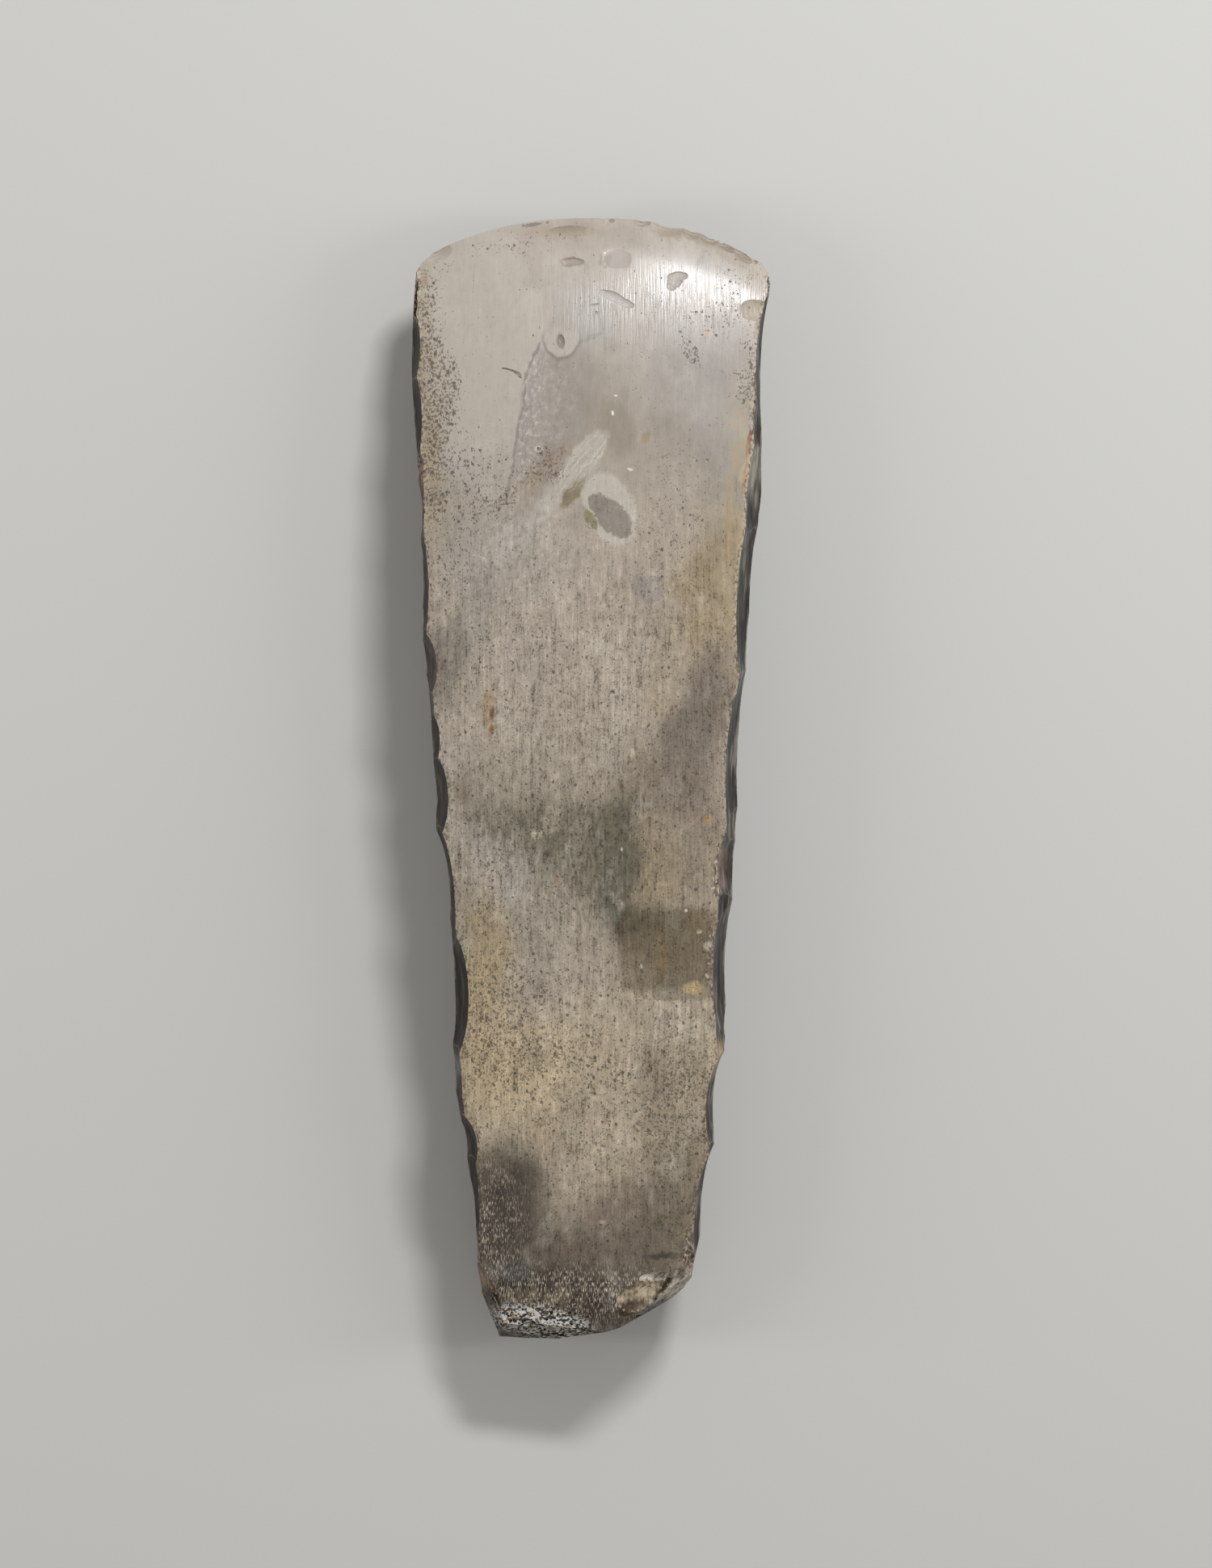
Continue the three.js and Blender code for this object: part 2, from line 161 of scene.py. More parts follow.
def mark_faces(mesh, mark, values):
    """Sets a number on each face, such as 1 where the stone is broken and not ground."""
    layer = mesh.attributes.new(mark, "FLOAT", "FACE")
    layer.data.foreach_set("value", np.broadcast_to(values, len(mesh.polygons)).astype(float))


def blank_mesh(rows, face_columns, side_columns):
    """The closed skin of the blank, ring by ring from the butt to the edge."""
    share = np.linspace(0, 1, rows + 1)[:, None]
    along = share * (1 + edge_crowding * (1 - share))
    across = np.linspace(0, 1, face_columns + 1)[None, :]
    down = np.linspace(0, 1, side_columns + 1)[None, 1:-1]
    rings = np.concatenate([
        face_point(True, across, along),
        side_point(True, down, along),
        face_point(False, across[:, ::-1], along),
        side_point(False, down[:, ::-1], along),
    ], axis=1)
    ring = rings.shape[1]
    start = np.arange(rows)[:, None] * ring
    step = np.arange(ring)[None, :]
    beside = (step + 1) % ring
    corners = np.broadcast_arrays(start + step, start + beside, start + beside + ring,
                                  start + step + ring)
    faces = np.stack(corners, -1).reshape(-1, 4).tolist()
    back = face_columns + side_columns
    on_side = np.zeros((rows, ring))
    on_side[:, face_columns:back] = 1
    on_side[:, back + face_columns:] = 1
    ends = []
    for first, is_butt in ((0, True), (rows * ring, False)):
        strips = [(0, *range(ring - 1, back + face_columns - 2, -1), 1)]
        for column in range(1, face_columns - 1):
            below = back + face_columns - column
            strips.append((column, below, below - 1, column + 1))
        strips.append((face_columns - 1, *range(back + 1, face_columns - 1, -1)))
        for strip in strips:
            turned = strip if is_butt else strip[::-1]
            ends.append([first + corner for corner in turned])
    mesh = bpy.data.meshes.new("flint_blank")
    mesh.from_pydata(rings.reshape(-1, 3).tolist(), [], faces + ends)
    on_end = np.tile((1, 0), (len(ends) // 2, 1)).T.ravel()
    mark_faces(mesh, "scar", np.concatenate([on_side.ravel(), on_end]))
    return mesh


blank_rows, blank_face_columns, blank_side_columns = 150, 44, 14
blank = bpy.data.objects.new(
    "flint_blank", blank_mesh(blank_rows, blank_face_columns, blank_side_columns))


# The knapping. The sides were shaped by flakes struck off both arrises, which left
# shell-like hollow scars with ripples round the point of each blow. Later blows, wear
# and use took small flakes off the arrises and nibbled the cutting edge.
scar_span, scar_bite, least_bite = 16, 2.4, 0.3
scar_hollow_share, scar_run_radius_share = 0.05, 1.3

# Each front scar: place along the blade, span, bite and notch below the arris
left_front_scars = (
    (0.886, 1, 0.85, 0.02), (0.817, 1.06, 0.78, 0.05), (0.738, 0.45, 0.5, 0),
    (0.664, 0.85, 0.62, 0.05), (0.63, 0.45, 0.85, 0), (0.598, 0.85, 1.3, 0.02),
    (0.533, 0.6, 0.85, 0.04), (0.482, 1.1, 1.38, 0.04), (0.427, 0.62, 0.75, 0.04),
    (0.379, 1.1, 0.72, 0.1), (0.306, 1.5, 1.36, 0.02), (0.225, 1.02, 0.72, 0.02),
    (0.171, 0.75, 1.2, 0), (0.117, 1.05, 0.6, 0.03),
)
right_front_scars = (
    (0.856, 0.95, 0.6, 0.05), (0.809, 0.62, 0.7, 0.05), (0.773, 0.7, 1.15, 0),
    (0.726, 1, 1.42, 0.06), (0.682, 0.55, 1.25, 0), (0.639, 1, 1.25, 0.04),
    (0.587, 0.9, 1.3, 0), (0.536, 0.78, 1.22, 0.04), (0.494, 0.95, 1.15, 0.02),
    (0.454, 0.5, 1.2, 0), (0.419, 0.72, 1.62, 0.04), (0.373, 0.95, 1.55, 0),
    (0.324, 0.75, 1.3, 0.04), (0.285, 0.72, 1.4, 0), (0.248, 0.6, 1.35, 0),
    (0.204, 0.8, 0.85, 0.03), (0.148, 1.1, 0.65, 0.03), (0.092, 0.85, 0.6, 0.03),
)
back_scar_count, first_back_scar, back_scar_stretch = 14, 0.1, 0.8
back_spans = (1.25, 0.95, 1.4, 1.05, 1.15)
back_bites = (0.75, 1.15, 0.9, 1.3, 0.65, 1)
back_notches = (0.02, 0.05, 0, 0.04)
back_shifts = (0, 0.3, -0.25, 0.15, -0.1)
scar_reaches = (0.52, 0.44, 0.6, 0.48, 0.56)
trims_per_arris = 80
least_trim_span, more_trim_span = 1.5, 6
least_trim_bite, more_trim_bite = 0.12, 0.55
least_trim_run, more_trim_run = 0.04, 0.2


def scar_cutter(is_right, is_front, place, span, cut, notch, reach):
    """Centre, axes and radii of the rounded body whose skin is one struck scar.

    The axes run along the blade, away from the blow and out of the stone.
    """
    along = place * blade_length / row_length(float(is_right))
    y, side_reach, inset = (float(value) for value in side_at(is_right, along))
    outward = 1 if is_right else -1
    half = float(half_side_height(along)) * (1 if is_front else -1)
    struck = Vector((outward * (side_reach - inset - cut), y, middle_height + half))
    ended = Vector((outward * (side_reach - notch), y,
                    middle_height + half * (1 - 2 * reach)))
    run = ended - struck
    run_way = run.normalized()
    side = Vector((outward, 0, 0))
    out_way = (side - run_way * side.dot(run_way)).normalized()
    roundness = math.sqrt(1 - (0.5 / scar_run_radius_share) ** 2)
    depth_radius = scar_hollow_share * run.length / (1 - roundness)
    slice_depth = depth_radius * roundness
    slice_share = math.sqrt(1 - (1 - min(cut / slice_depth, 1)) ** 2)
    centre = (struck + ended) / 2 + out_way * slice_depth
    radii = (span / (2 * roundness * slice_share), scar_run_radius_share * run.length,
             depth_radius)
    return centre, (run_way.cross(out_way), run_way, out_way), radii


scars = []
for is_right, rows in ((False, left_front_scars), (True, right_front_scars)):
    for index, (place, span, bite, notch) in enumerate(rows):
        along = place * blade_length / row_length(float(is_right))
        cut = max(bite * scar_bite - float(side_at(is_right, along)[2]), least_bite)
        scars.append(scar_cutter(is_right, True, place, span * scar_span, cut, notch,
                                 scar_reaches[index % 5]))
    for index in range(back_scar_count):
        turn = index if is_right else index + 2
        step = back_scar_stretch / (back_scar_count - 1)
        place = first_back_scar + step * (index + back_shifts[turn % 5])
        along = place * blade_length / row_length(float(is_right))
        cut = back_bites[turn % 6] * scar_bite - float(side_at(is_right, along)[2])
        scars.append(scar_cutter(is_right, False, place, back_spans[turn % 5] * scar_span,
                                 max(cut, least_bite), back_notches[turn % 4],
                                 scar_reaches[turn % 5]))

trims = []
draw = np.random.default_rng(31)
for is_right in (False, True):
    for is_front in (True, False):
        for _ in range(trims_per_arris):
            size = draw.uniform(0.3, 1) ** 2
            trims.append(scar_cutter(
                is_right, is_front, draw.uniform(0.05, 0.95),
                least_trim_span + more_trim_span * size,
                least_trim_bite + more_trim_bite * size * draw.uniform(0.5, 1),
                draw.uniform(0.2, 1.2), least_trim_run + more_trim_run * size))

# Each chip of the front face: across and along in millimetres from the blade's middle,
# length across, length along, depth and turn in degrees; they are flat-floored
front_chips = (
    (-4.2, 114.9, 5.22, 1.8, 0.3, -3), (-5.3, 114.7, 2.52, 2.16, 0.28, 0),
    (5.7, 115.4, 6.48, 5.94, 0.11, 0), (19.1, 111.6, 4.86, 2.34, 0.24, 8),
    (18.4, 110.5, 3.6, 3.24, 0.24, 30), (17.7, 109.4, 2.34, 2.34, 0.24, 0),
    (4.6, 107, 6.48, 2.34, 0.2, -24),
    (7.3, 105.5, 4.68, 1.98, 0.22, -20), (0.6, 105.1, 2.34, 0.54, 0.15, 10),
    (4.6, 19, 0.9, 0.9, 0.3, 0), (-18.3, 90.4, 2.16, 0.63, 0.2, -10),
    (-16.2, 89.5, 1.62, 0.9, 0.25, -40), (1, 103.3, 0.72, 0.9, 0.15, 0),
    (19.6, 99, 0.72, 0.72, 0.2, 0), (-11.5, 72.8, 0.9, 0.72, 0.25, 0),
    (25.5, 70.3, 0.72, 0.9, 0.25, 0), (-6.7, 96.9, 1.44, 2.88, 0.35, 8),
)

# Shell-like chips with ripples round the blow, the same way and with a tilt to the rim
front_shells = (
    (36.7, 104.1, 5.4, 8.29, 0.7, 90, 0), (38.3, 100.2, 6.12, 4.32, 0.6, 90, 0),
    (17.4, 122.2, 7.93, 4.68, 0.6, 168, 16), (22.2, 121, 5.04, 3.24, 0.5, 160, 18),
    (26, 119.7, 4.68, 2.88, 0.5, 156, 18), (30.6, 117.7, 4.32, 1.8, 0.35, 152, 22),
    (-34.4, 116.4, 6.12, 3.6, 0.5, 205, 12), (-38, 111.3, 2.88, 6.12, 0.6, 0, 0),
    (-13.8, 123.3, 5.4, 1.26, 0.3, 188, 25), (-5.7, 122, 9.37, 2.16, 0.16, 184, 6),
    (34.2, 115.3, 3.96, 2.16, 0.3, 146, 20),
)
edge_nibbles = 64

# Flakes run up both faces from the butt: face, place, width, run, depth, turn and tilt
butt_flakes = (
    (True, 13, -112.8, 13.69, 6.48, 1.1, 30, -14), (True, 14.4, -111.1, 7.93, 4.32, 0.9, 8, -10),
    (True, 19.5, -111.2, 4.32, 7.2, 1.2, -28, -12), (True, 8.9, -117.1, 6.12, 2.7, 0.8, 30, -12),
    (True, -22.1, -118.1, 4.32, 15.13, 1.5, 12, 0), (True, -23.6, -113.4, 3.6, 7.2, 0.9, 18, 0),
    (True, -13.7, -121.7, 12.61, 3.6, 0.7, -14, -8),
    (False, 4, -118, 24, 26, 3, 0, 0), (False, -12, -119, 18, 20, 2.4, 0, 0),
)

# Planes the butt broke along: point, heading and lean in degrees, half size
butt_breaks = (
    (-0.56, 0.0317, -160, 12), (-0.335, 0.0055, -96, 22), (0.106, 0.0135, -71, -9),
    (0.44, 0.041, -50, 14),
)


def face_cutter(is_front, x, y, size_across, size_along, depth, turn, tilt,
                roundness=4, flatness=1):
    """Centre, axes and radii of the rounded body that takes a chip off a broad face.

    Tilt leans the chip's floor towards the cutting edge.
    """
    along = (y + blade_length / 2) / blade_length
    for _ in range(8):
        row = face_point(is_front, np.array([0.0, 1.0]), along)[:, 0]
        across = (x - row[0]) / (row[1] - row[0])
        along = (y + blade_length / 2) / float(row_length(np.clip(across, 0, 1)))
    across, along = min(max(across, 0.01), 0.99), min(along, 0.995)
    spot, right, up = (Vector(face_point(is_front, across + i, along + j))
                       for i, j in ((0, 0), (0.005, 0), (0, 0.003)))
    out_way = (right - spot).cross(up - spot).normalized() * (1 if is_front else -1)
    out_way = (out_way * math.cos(math.radians(tilt))
               + (up - spot).normalized() * math.sin(math.radians(tilt)))
    angle = math.radians(turn)
    flat = Vector((math.cos(angle), math.sin(angle), 0))
    across_way = (flat - out_way * flat.dot(out_way)).normalized()
    rim = (1 - (1 - 1 / roundness) ** (2 / flatness)) ** (flatness / 2)
    centre = Vector((x, y, spot.z)) + out_way * depth * (roundness - 1)
    return (centre, (across_way, out_way.cross(across_way), out_way),
            (size_across / 2 / rim, size_along / 2 / rim, depth * roundness))


chip_roundness, chip_flatness = 2, 0.6
chips = [face_cutter(True, *chip, 0, chip_roundness, chip_flatness) for chip in front_chips]
shells = [face_cutter(True, *shell) for shell in front_shells]
nibble_width, nibble_run, nibble_depth, nibble_tilt = 3.4, 2, 0.8, 45
left_nibble_share, right_nibble_share, nibble_place = 0.55, 1.15, 0.998
for index in range(edge_nibbles):
    across = (index + draw.uniform(0, 1)) / edge_nibbles
    edge = face_point(True, across, nibble_place)
    size = draw.uniform(0.35, 1.1) ** 2
    size = size * (left_nibble_share if across < 0.5 else right_nibble_share)
    shells.append(face_cutter(
        index % 3 > 0, edge[0], edge[1], nibble_width * size, nibble_run * size,
        nibble_depth * size, 180 + draw.uniform(-20, 20), nibble_tilt))
flakes = [face_cutter(*flake) for flake in butt_flakes]


def plane_cutter(spot, out_way, half_size):
    across_way = Vector((out_way.z, 0.001, -out_way.x)).cross(out_way).normalized()
    return (Vector(spot), (across_way, out_way.cross(across_way), out_way),
            (half_size, half_size, half_size))


break_half_size, corner_half_size, table_half_size, seat_half_size = 40, 24, 60, 30
breaks = []
for across, along, heading, lean in butt_breaks:
    spot = (across * half_width, (along - 0.5) * blade_length, middle_height)
    heading, lean = math.radians(heading), math.radians(lean)
    breaks.append(plane_cutter(spot, Vector((
        math.cos(heading) * math.cos(lean), math.sin(heading) * math.cos(lean),
        math.sin(lean))), break_half_size))

# The corners of the cutting edge are worn round: place on the cut and its heading
worn_corners = ((38.1, 114.6, 32), (39.4, 112, 12), (-38.3, 114.2, 150), (-36.7, 116, 132))
corners = [plane_cutter((x, y, 0), Vector((math.cos(math.radians(heading)),
                                          math.sin(math.radians(heading)), 0)),
                        corner_half_size)
           for x, y, heading in worn_corners]

# The two faces are ground a little flatter near the butt, where a haft holds the blade,
# and the back is ground level where the blade rests
haft_seat_distance, haft_flat_depth = 42, 0.35
flats = [plane_cutter((0, 0, 0), Vector((0, 0, -1)), table_half_size)]
for is_front in (True, False):
    seat = haft_seat_distance / blade_length
    spot, right, up = (Vector(face_point(is_front, 0.5 + i, seat + j))
                       for i, j in ((0, 0), (0.01, 0), (0, 0.01)))
    out_way = (right - spot).cross(up - spot).normalized() * (1 if is_front else -1)
    flats.append(plane_cutter(spot - out_way * haft_flat_depth, out_way, seat_half_size))


def cutter_points(name, cutters):
    """Points that place cutters; each carries its cutter's turn and radii."""
    mesh = bpy.data.meshes.new(name)
    mesh.from_pydata([tuple(centre) for centre, _, _ in cutters], [], [])
    turns = [tuple(Matrix(axes).transposed().to_euler()) for _, axes, _ in cutters]
    for key, rows in (("turn", turns), ("radii", [radii for _, _, radii in cutters])):
        spread = mesh.attributes.new(key, "FLOAT_VECTOR", "POINT")
        spread.data.foreach_set("vector", np.array(rows, dtype=float).ravel())
    return bpy.data.objects.new(name, mesh)


def round_form(name, marks, rings, spokes, strike, ripple, waves, wobble, flatness=1):
    """A unit ball, fine near its deepest point, with ripples round the point of the blow.

    Below 1, flatness turns the ball into a pan with a flat floor and steep sides.
    """
    fine_bend, coarse_bends = 82, (100, 120, 140, 160)
    bends = np.radians(np.concatenate([np.linspace(0, fine_bend, rings + 1)[1:],
                                       coarse_bends]))[:, None]
    spin = np.linspace(0, 2 * np.pi, spokes, endpoint=False)[None, :]
    reach = np.sin(bends) ** flatness
    rise = -np.sign(np.cos(bends)) * np.abs(np.cos(bends)) ** flatness
    ball = np.stack(np.broadcast_arrays(reach * np.cos(spin), reach * np.sin(spin), rise), -1)
    poles = np.array([[0, 0, -1.0], [0, 0, 1.0]])
    points = np.concatenate([poles[:1], ball.reshape(-1, 3), poles[1:]])
    blow = np.array([0, -strike, -math.sqrt(1 - strike**2)])
    far = np.linalg.norm(points - blow, axis=1)
    swing = np.sin(points[:, 0] * 5 + 1.3) * np.cos(points[:, 1] * 7 + 0.4)
    swell = 1 + ripple * np.sin(far * 2 * np.pi * waves) / (1 + 2 * far) + wobble * swing
    faces = []
    last = len(points) - 1
    for step in range(spokes):
        beside = (step + 1) % spokes
        faces.append((0, 1 + beside, 1 + step))
        for ring in range(len(bends) - 1):
            first = 1 + ring * spokes
            faces.append((first + step, first + beside, first + beside + spokes,
                          first + step + spokes))
        first = 1 + (len(bends) - 1) * spokes
        faces.append((first + step, first + beside, last))
    mesh = bpy.data.meshes.new(name)
    mesh.from_pydata((points * swell[:, None]).tolist(), [], faces)
    for mark in marks:
        mark_faces(mesh, mark, 1)
    corners = np.array([loop.vertex_index for loop in mesh.loops])
    blows = mesh.attributes.new("blow", "FLOAT_VECTOR", "CORNER")
    blows.data.foreach_set("vector", (points - blow)[corners].ravel())
    return bpy.data.objects.new(name, mesh)


def slab_form(name, marks, cells, roughness):
    """A block on the far side of a plane, uneven as a break when roughness is above 0."""
    lumps = np.random.default_rng(7)
    step = np.linspace(-1, 1, cells + 1)
    x, y = (grid.ravel() for grid in np.meshgrid(step, step))
    z = np.zeros_like(x)
    lump_waves = (6, 13, 29, 55)
    for waves in lump_waves:
        way, phase = lumps.uniform(0, 2 * np.pi, 2)
        z += np.sin((x * math.cos(way) + y * math.sin(way)) * waves + phase) / waves
    top = np.stack([x, y, np.ones_like(x)], -1)
    points = np.concatenate([np.stack([x, y, z * roughness], -1), top])
    row = cells + 1
    faces = []
    for j in range(cells):
        for i in range(cells):
            first = j * row + i
            low = (first, first + row, first + row + 1, first + 1)
            faces.append(low)
            faces.append(tuple(corner + row * row for corner in low[::-1]))
    rim = ([i for i in range(row)] + [j * row + cells for j in range(1, row)]
           + [cells * row + i for i in range(cells - 1, -1, -1)]
           + [j * row for j in range(cells - 1, 0, -1)])
    for one, other in zip(rim, rim[1:] + rim[:1]):
        faces.append((one, other, other + row * row, one + row * row))
    mesh = bpy.data.meshes.new(name)
    mesh.from_pydata(points.tolist(), [], faces)
    for mark in marks:
        mark_faces(mesh, mark, 1)
    return bpy.data.objects.new(name, mesh)


blow_share = 0.5 / scar_run_radius_share
cutter_sets = {
    "scars": (scars, round_form("scar_form", ["scar"], rings=22, spokes=44,
                                strike=blow_share, ripple=0.006, waves=5, wobble=0.012)),
    "trims": (trims, round_form("trim_form", ["scar", "trim"], rings=8, spokes=18,
                                strike=blow_share, ripple=0, waves=1, wobble=0.03)),
    "chips": (chips, round_form("chip_form", ["chip"], rings=10, spokes=28, strike=0.6,
                                ripple=0, waves=1, wobble=0.05, flatness=chip_flatness)),
    "shells": (shells, round_form("shell_form", ["chip", "shell"], rings=34, spokes=34,
                                  strike=0.9, ripple=0.045, waves=5, wobble=0.02)),
    "flakes": (flakes, round_form("flake_form", ["scar", "flake"], rings=18, spokes=36,
                                  strike=0.5, ripple=0.006, waves=6, wobble=0.05)),
    "breaks": (breaks, slab_form("break_form", ["scar", "break"], cells=60, roughness=0.03)),
    "flats": (flats + corners, slab_form("flat_form", [], cells=1, roughness=0)),
}


class Socket:
    """A socket of a node tree. Its operators and its node method add nodes."""

    def __init__(self, tree, end=None):
        self.tree, self.end = tree, end

    def node(self, kind, settings, inputs, output=0):
        """Adds a node, sets it up, fills its inputs and gives one of its outputs."""
        node = self.tree.nodes.new(kind)
        for name, value in settings.items():
            setattr(node, name, value)
        for name, value in inputs.items():
            for one in value if isinstance(value, list) else [value]:
                if isinstance(one, Socket):
                    self.tree.links.new(one.end, node.inputs[name])
                else:
                    node.inputs[name].default_value = one
        return Socket(self.tree, node.outputs[output] if node.outputs else None)

    def maths(self, operation, *values):
        return self.node("ShaderNodeMath", {"operation": operation}, dict(enumerate(values)))

    def __add__(self, other):
        return self.maths("ADD", self, other)

    def __sub__(self, other):
        return self.maths("SUBTRACT", self, other)

    def __rsub__(self, other):
        return self.maths("SUBTRACT", other, self)

    def __mul__(self, other):
        return self.maths("MULTIPLY", self, other)

    __radd__, __rmul__ = __add__, __mul__


def knapping_tree(names):
    """Cuts every set of cutters from the stone, then pits the broken butt."""
    tree = bpy.data.node_groups.new("Knapping", "GeometryNodeTree")
    face = tree.interface
    face.new_socket("Stone", in_out="INPUT", socket_type="NodeSocketGeometry")
    for name in names:
        for part in ("points", "form"):
            face.new_socket(f"{name} {part}", in_out="INPUT",
                            socket_type="NodeSocketObject")
    face.new_socket("Pit form", in_out="INPUT", socket_type="NodeSocketObject")
    for name in ("Pits per area", "Least pit", "Largest pit"):
        face.new_socket(name, in_out="INPUT", socket_type="NodeSocketFloat")
    face.new_socket("Seed", in_out="INPUT", socket_type="NodeSocketInt")
    face.new_socket("Material", in_out="INPUT", socket_type="NodeSocketMaterial")
    face.new_socket("Stone", in_out="OUTPUT", socket_type="NodeSocketGeometry")
    root = Socket(tree)
    given = tree.nodes.new("NodeGroupInput")
    inputs = {end.name: Socket(tree, end) for end in given.outputs if end.name}
    cutters = []
    for name in names:
        shape, points = (root.node("GeometryNodeObjectInfo", {},
                                   {"Object": inputs[f"{name} {part}"]}, "Geometry")
                         for part in ("form", "points"))
        turn, radii = (root.node("GeometryNodeInputNamedAttribute",
                                 {"data_type": "FLOAT_VECTOR"}, {"Name": key}, "Attribute")
                       for key in ("turn", "radii"))
        cutters.append(root.node("GeometryNodeInstanceOnPoints", {}, {
            "Points": points.node("GeometryNodeMeshToPoints", {}, {"Mesh": points}),
            "Instance": shape, "Rotation": turn, "Scale": radii}))
    struck = root.node("GeometryNodeMeshBoolean",
                       {"operation": "DIFFERENCE", "solver": "MANIFOLD"},
                       {"Mesh 1": inputs["Stone"], "Mesh 2": cutters})
    broken = root.node("GeometryNodeInputNamedAttribute", {"data_type": "FLOAT"},
                       {"Name": "break"}, "Attribute")
    place = root.node("GeometryNodeInputPosition", {}, {})
    crust_x, crust_y, crust_half_x, crust_half_y = -9.9, -120.5, 10.45, 4.32
    butt_top, break_share = -112, 0.6
    crust = place.node("ShaderNodeVectorMath", {"operation": "MULTIPLY_ADD"}, {
        0: place, 1: (1 / crust_half_x, 1 / crust_half_y, 0),
        2: (-crust_x / crust_half_x, -crust_y / crust_half_y, 0)})
    crust = crust.node("ShaderNodeVectorMath", {"operation": "LENGTH"}, {0: crust}, "Value")
    inside = crust.maths("LESS_THAN", crust, 1)
    low_butt = place.node("ShaderNodeSeparateXYZ", {}, {0: place}, "Y")
    low_butt = low_butt.maths("LESS_THAN", low_butt, butt_top)
    dense = inside + broken * low_butt * break_share
    pits = struck.node("GeometryNodeDistributePointsOnFaces", {}, {
        "Mesh": struck, "Density": dense * inputs["Pits per area"],
        "Seed": inputs["Seed"]}, "Points")
    turned = Socket(tree, pits.end.node.outputs["Rotation"])
    size = root.node("FunctionNodeRandomValue", {"data_type": "FLOAT"}, {
        2: inputs["Least pit"], 3: inputs["Largest pit"], "Seed": inputs["Seed"]}, 1)
    shape = root.node("GeometryNodeObjectInfo", {}, {"Object": inputs["Pit form"]},
                      "Geometry")
    pits = pits.node("GeometryNodeInstanceOnPoints", {}, {
        "Points": pits, "Instance": shape, "Rotation": turned, "Scale": size})
    pitted = struck.node("GeometryNodeMeshBoolean",
                         {"operation": "DIFFERENCE", "solver": "MANIFOLD"},
                         {"Mesh 1": struck, "Mesh 2": [pits]})
    whole = pitted.node("GeometryNodeRealizeInstances", {}, {"Geometry": pitted})
    whole = whole.node("GeometryNodeSetMaterial", {}, {
        "Geometry": whole, "Material": inputs["Material"]})
    made = tree.nodes.new("NodeGroupOutput")
    tree.links.new(whole.end, made.inputs[0])
    return tree


# The flint. Its faces were ground smooth along the blade and keep fine lengthwise
# scratches and many small dark pits; the stone is pale grey-beige with ochre, smoky and
# olive clouds, chalky fossils and rust, darker towards the butt and dark in the scars.
stone = bpy.data.materials.new("flint")
stone.use_nodes = True
stone.node_tree.nodes.clear()
root = Socket(stone.node_tree)


def colour(red, green, blue):
    """A display colour as the linear values that Blender's sockets take."""
    return (*(((level / 255 + 0.055) / 1.055) ** 2.4 for level in (red, green, blue)), 1)


def vector(operation, *values, output=0):
    return root.node("ShaderNodeVectorMath", {"operation": operation},
                     dict(enumerate(values)), output)


def ramp(value, start, end):
    """A soft step of a number from 0 at start to 1 at end."""
    return root.node("ShaderNodeMapRange", {"interpolation_type": "SMOOTHSTEP"},
                     {"Value": value, "From Min": start, "From Max": end}, "Result")


def noise(place, across, along, seed, detail, output=0):
    """Noise about 0.5 with lumps of the given sizes across and along the blade.

    Each seed reads another part of the same noise.
    """
    at = vector("MULTIPLY_ADD", place, (1 / across, 1 / along, 1 / across),
                (seed * 7.3, seed * 11.9, seed * 5.1))
    return root.node("ShaderNodeTexNoise", {}, {"Vector": at, "Scale": 1, "Detail": detail},
                     output)


def mix(share, first, second):
    return root.node("ShaderNodeMix", {"data_type": "RGBA"}, {0: share, 6: first, 7: second},
                     2)


def spot(place, x, y, half_x, half_y, turn, soft, box=False):
    """1 within an oval or box on the face and 0 away from it, with a soft rim."""
    squares = []
    for half, angle in ((half_x, math.radians(turn)), (half_y, math.radians(turn + 90))):
        way = (math.cos(angle) / half, math.sin(angle) / half, 0)
        local = vector("DOT_PRODUCT", place, way, output="Value") - (x * way[0] + y * way[1])
        for _ in range(3 if box else 1):
            local = local * local
        squares.append(local)
    far = root.maths("SQRT", squares[0] + squares[1])
    return ramp(far, 1 + soft, 1 - soft)


def line(place, x1, y1, x2, y2, width):
    """1 on a straight mark of the face between two places, 0 away from it."""
    turn = math.degrees(math.atan2(y2 - y1, x2 - x1))
    half = math.hypot(x2 - x1, y2 - y1) / 2
    return spot(place, (x1 + x2) / 2, (y1 + y2) / 2, half, width / 2, turn, 0.5, box=True)


def face_mark(name, output="Fac"):
    return root.node("ShaderNodeAttribute", {"attribute_name": name}, {}, output)


def shaken(place, drift):
    """A place moved by noise, so that what is laid there has an uneven rim."""
    reach = 0.8
    place = vector("MULTIPLY_ADD", drift, (2 * reach, 2 * reach, 0), place)
    return vector("ADD", place, (-reach, -reach, 0))


local_place = root.node("ShaderNodeTexCoord", {}, {}, "Object")
place = vector("MULTIPLY", local_place, (1 / mm,) * 3)
across_blade, along_blade, height = (
    root.node("ShaderNodeSeparateXYZ", {}, {0: place}, axis) for axis in "XYZ")
back_height, front_height = 16.2, 16.9
is_front = ramp(height, back_height, front_height)
edged = shaken(place, noise(place, 2.4, 3.4, 2, 3, "Color"))
ragged = shaken(edged, noise(place, 1.1, 1.6, 25, 3, "Color"))

shade = noise(edged, 9, 16, 3, 4) * 0.6 + noise(edged, 3, 5, 23, 3) * 0.4
cloud = face_mark("cloud", "Color")
tint = mix(ramp(shade, 0.5, 0.3) * 0.25, cloud, colour(96, 88, 76))
tint = mix(ramp(shade, 0.5, 0.7) * 0.25, tint, colour(206, 197, 182))

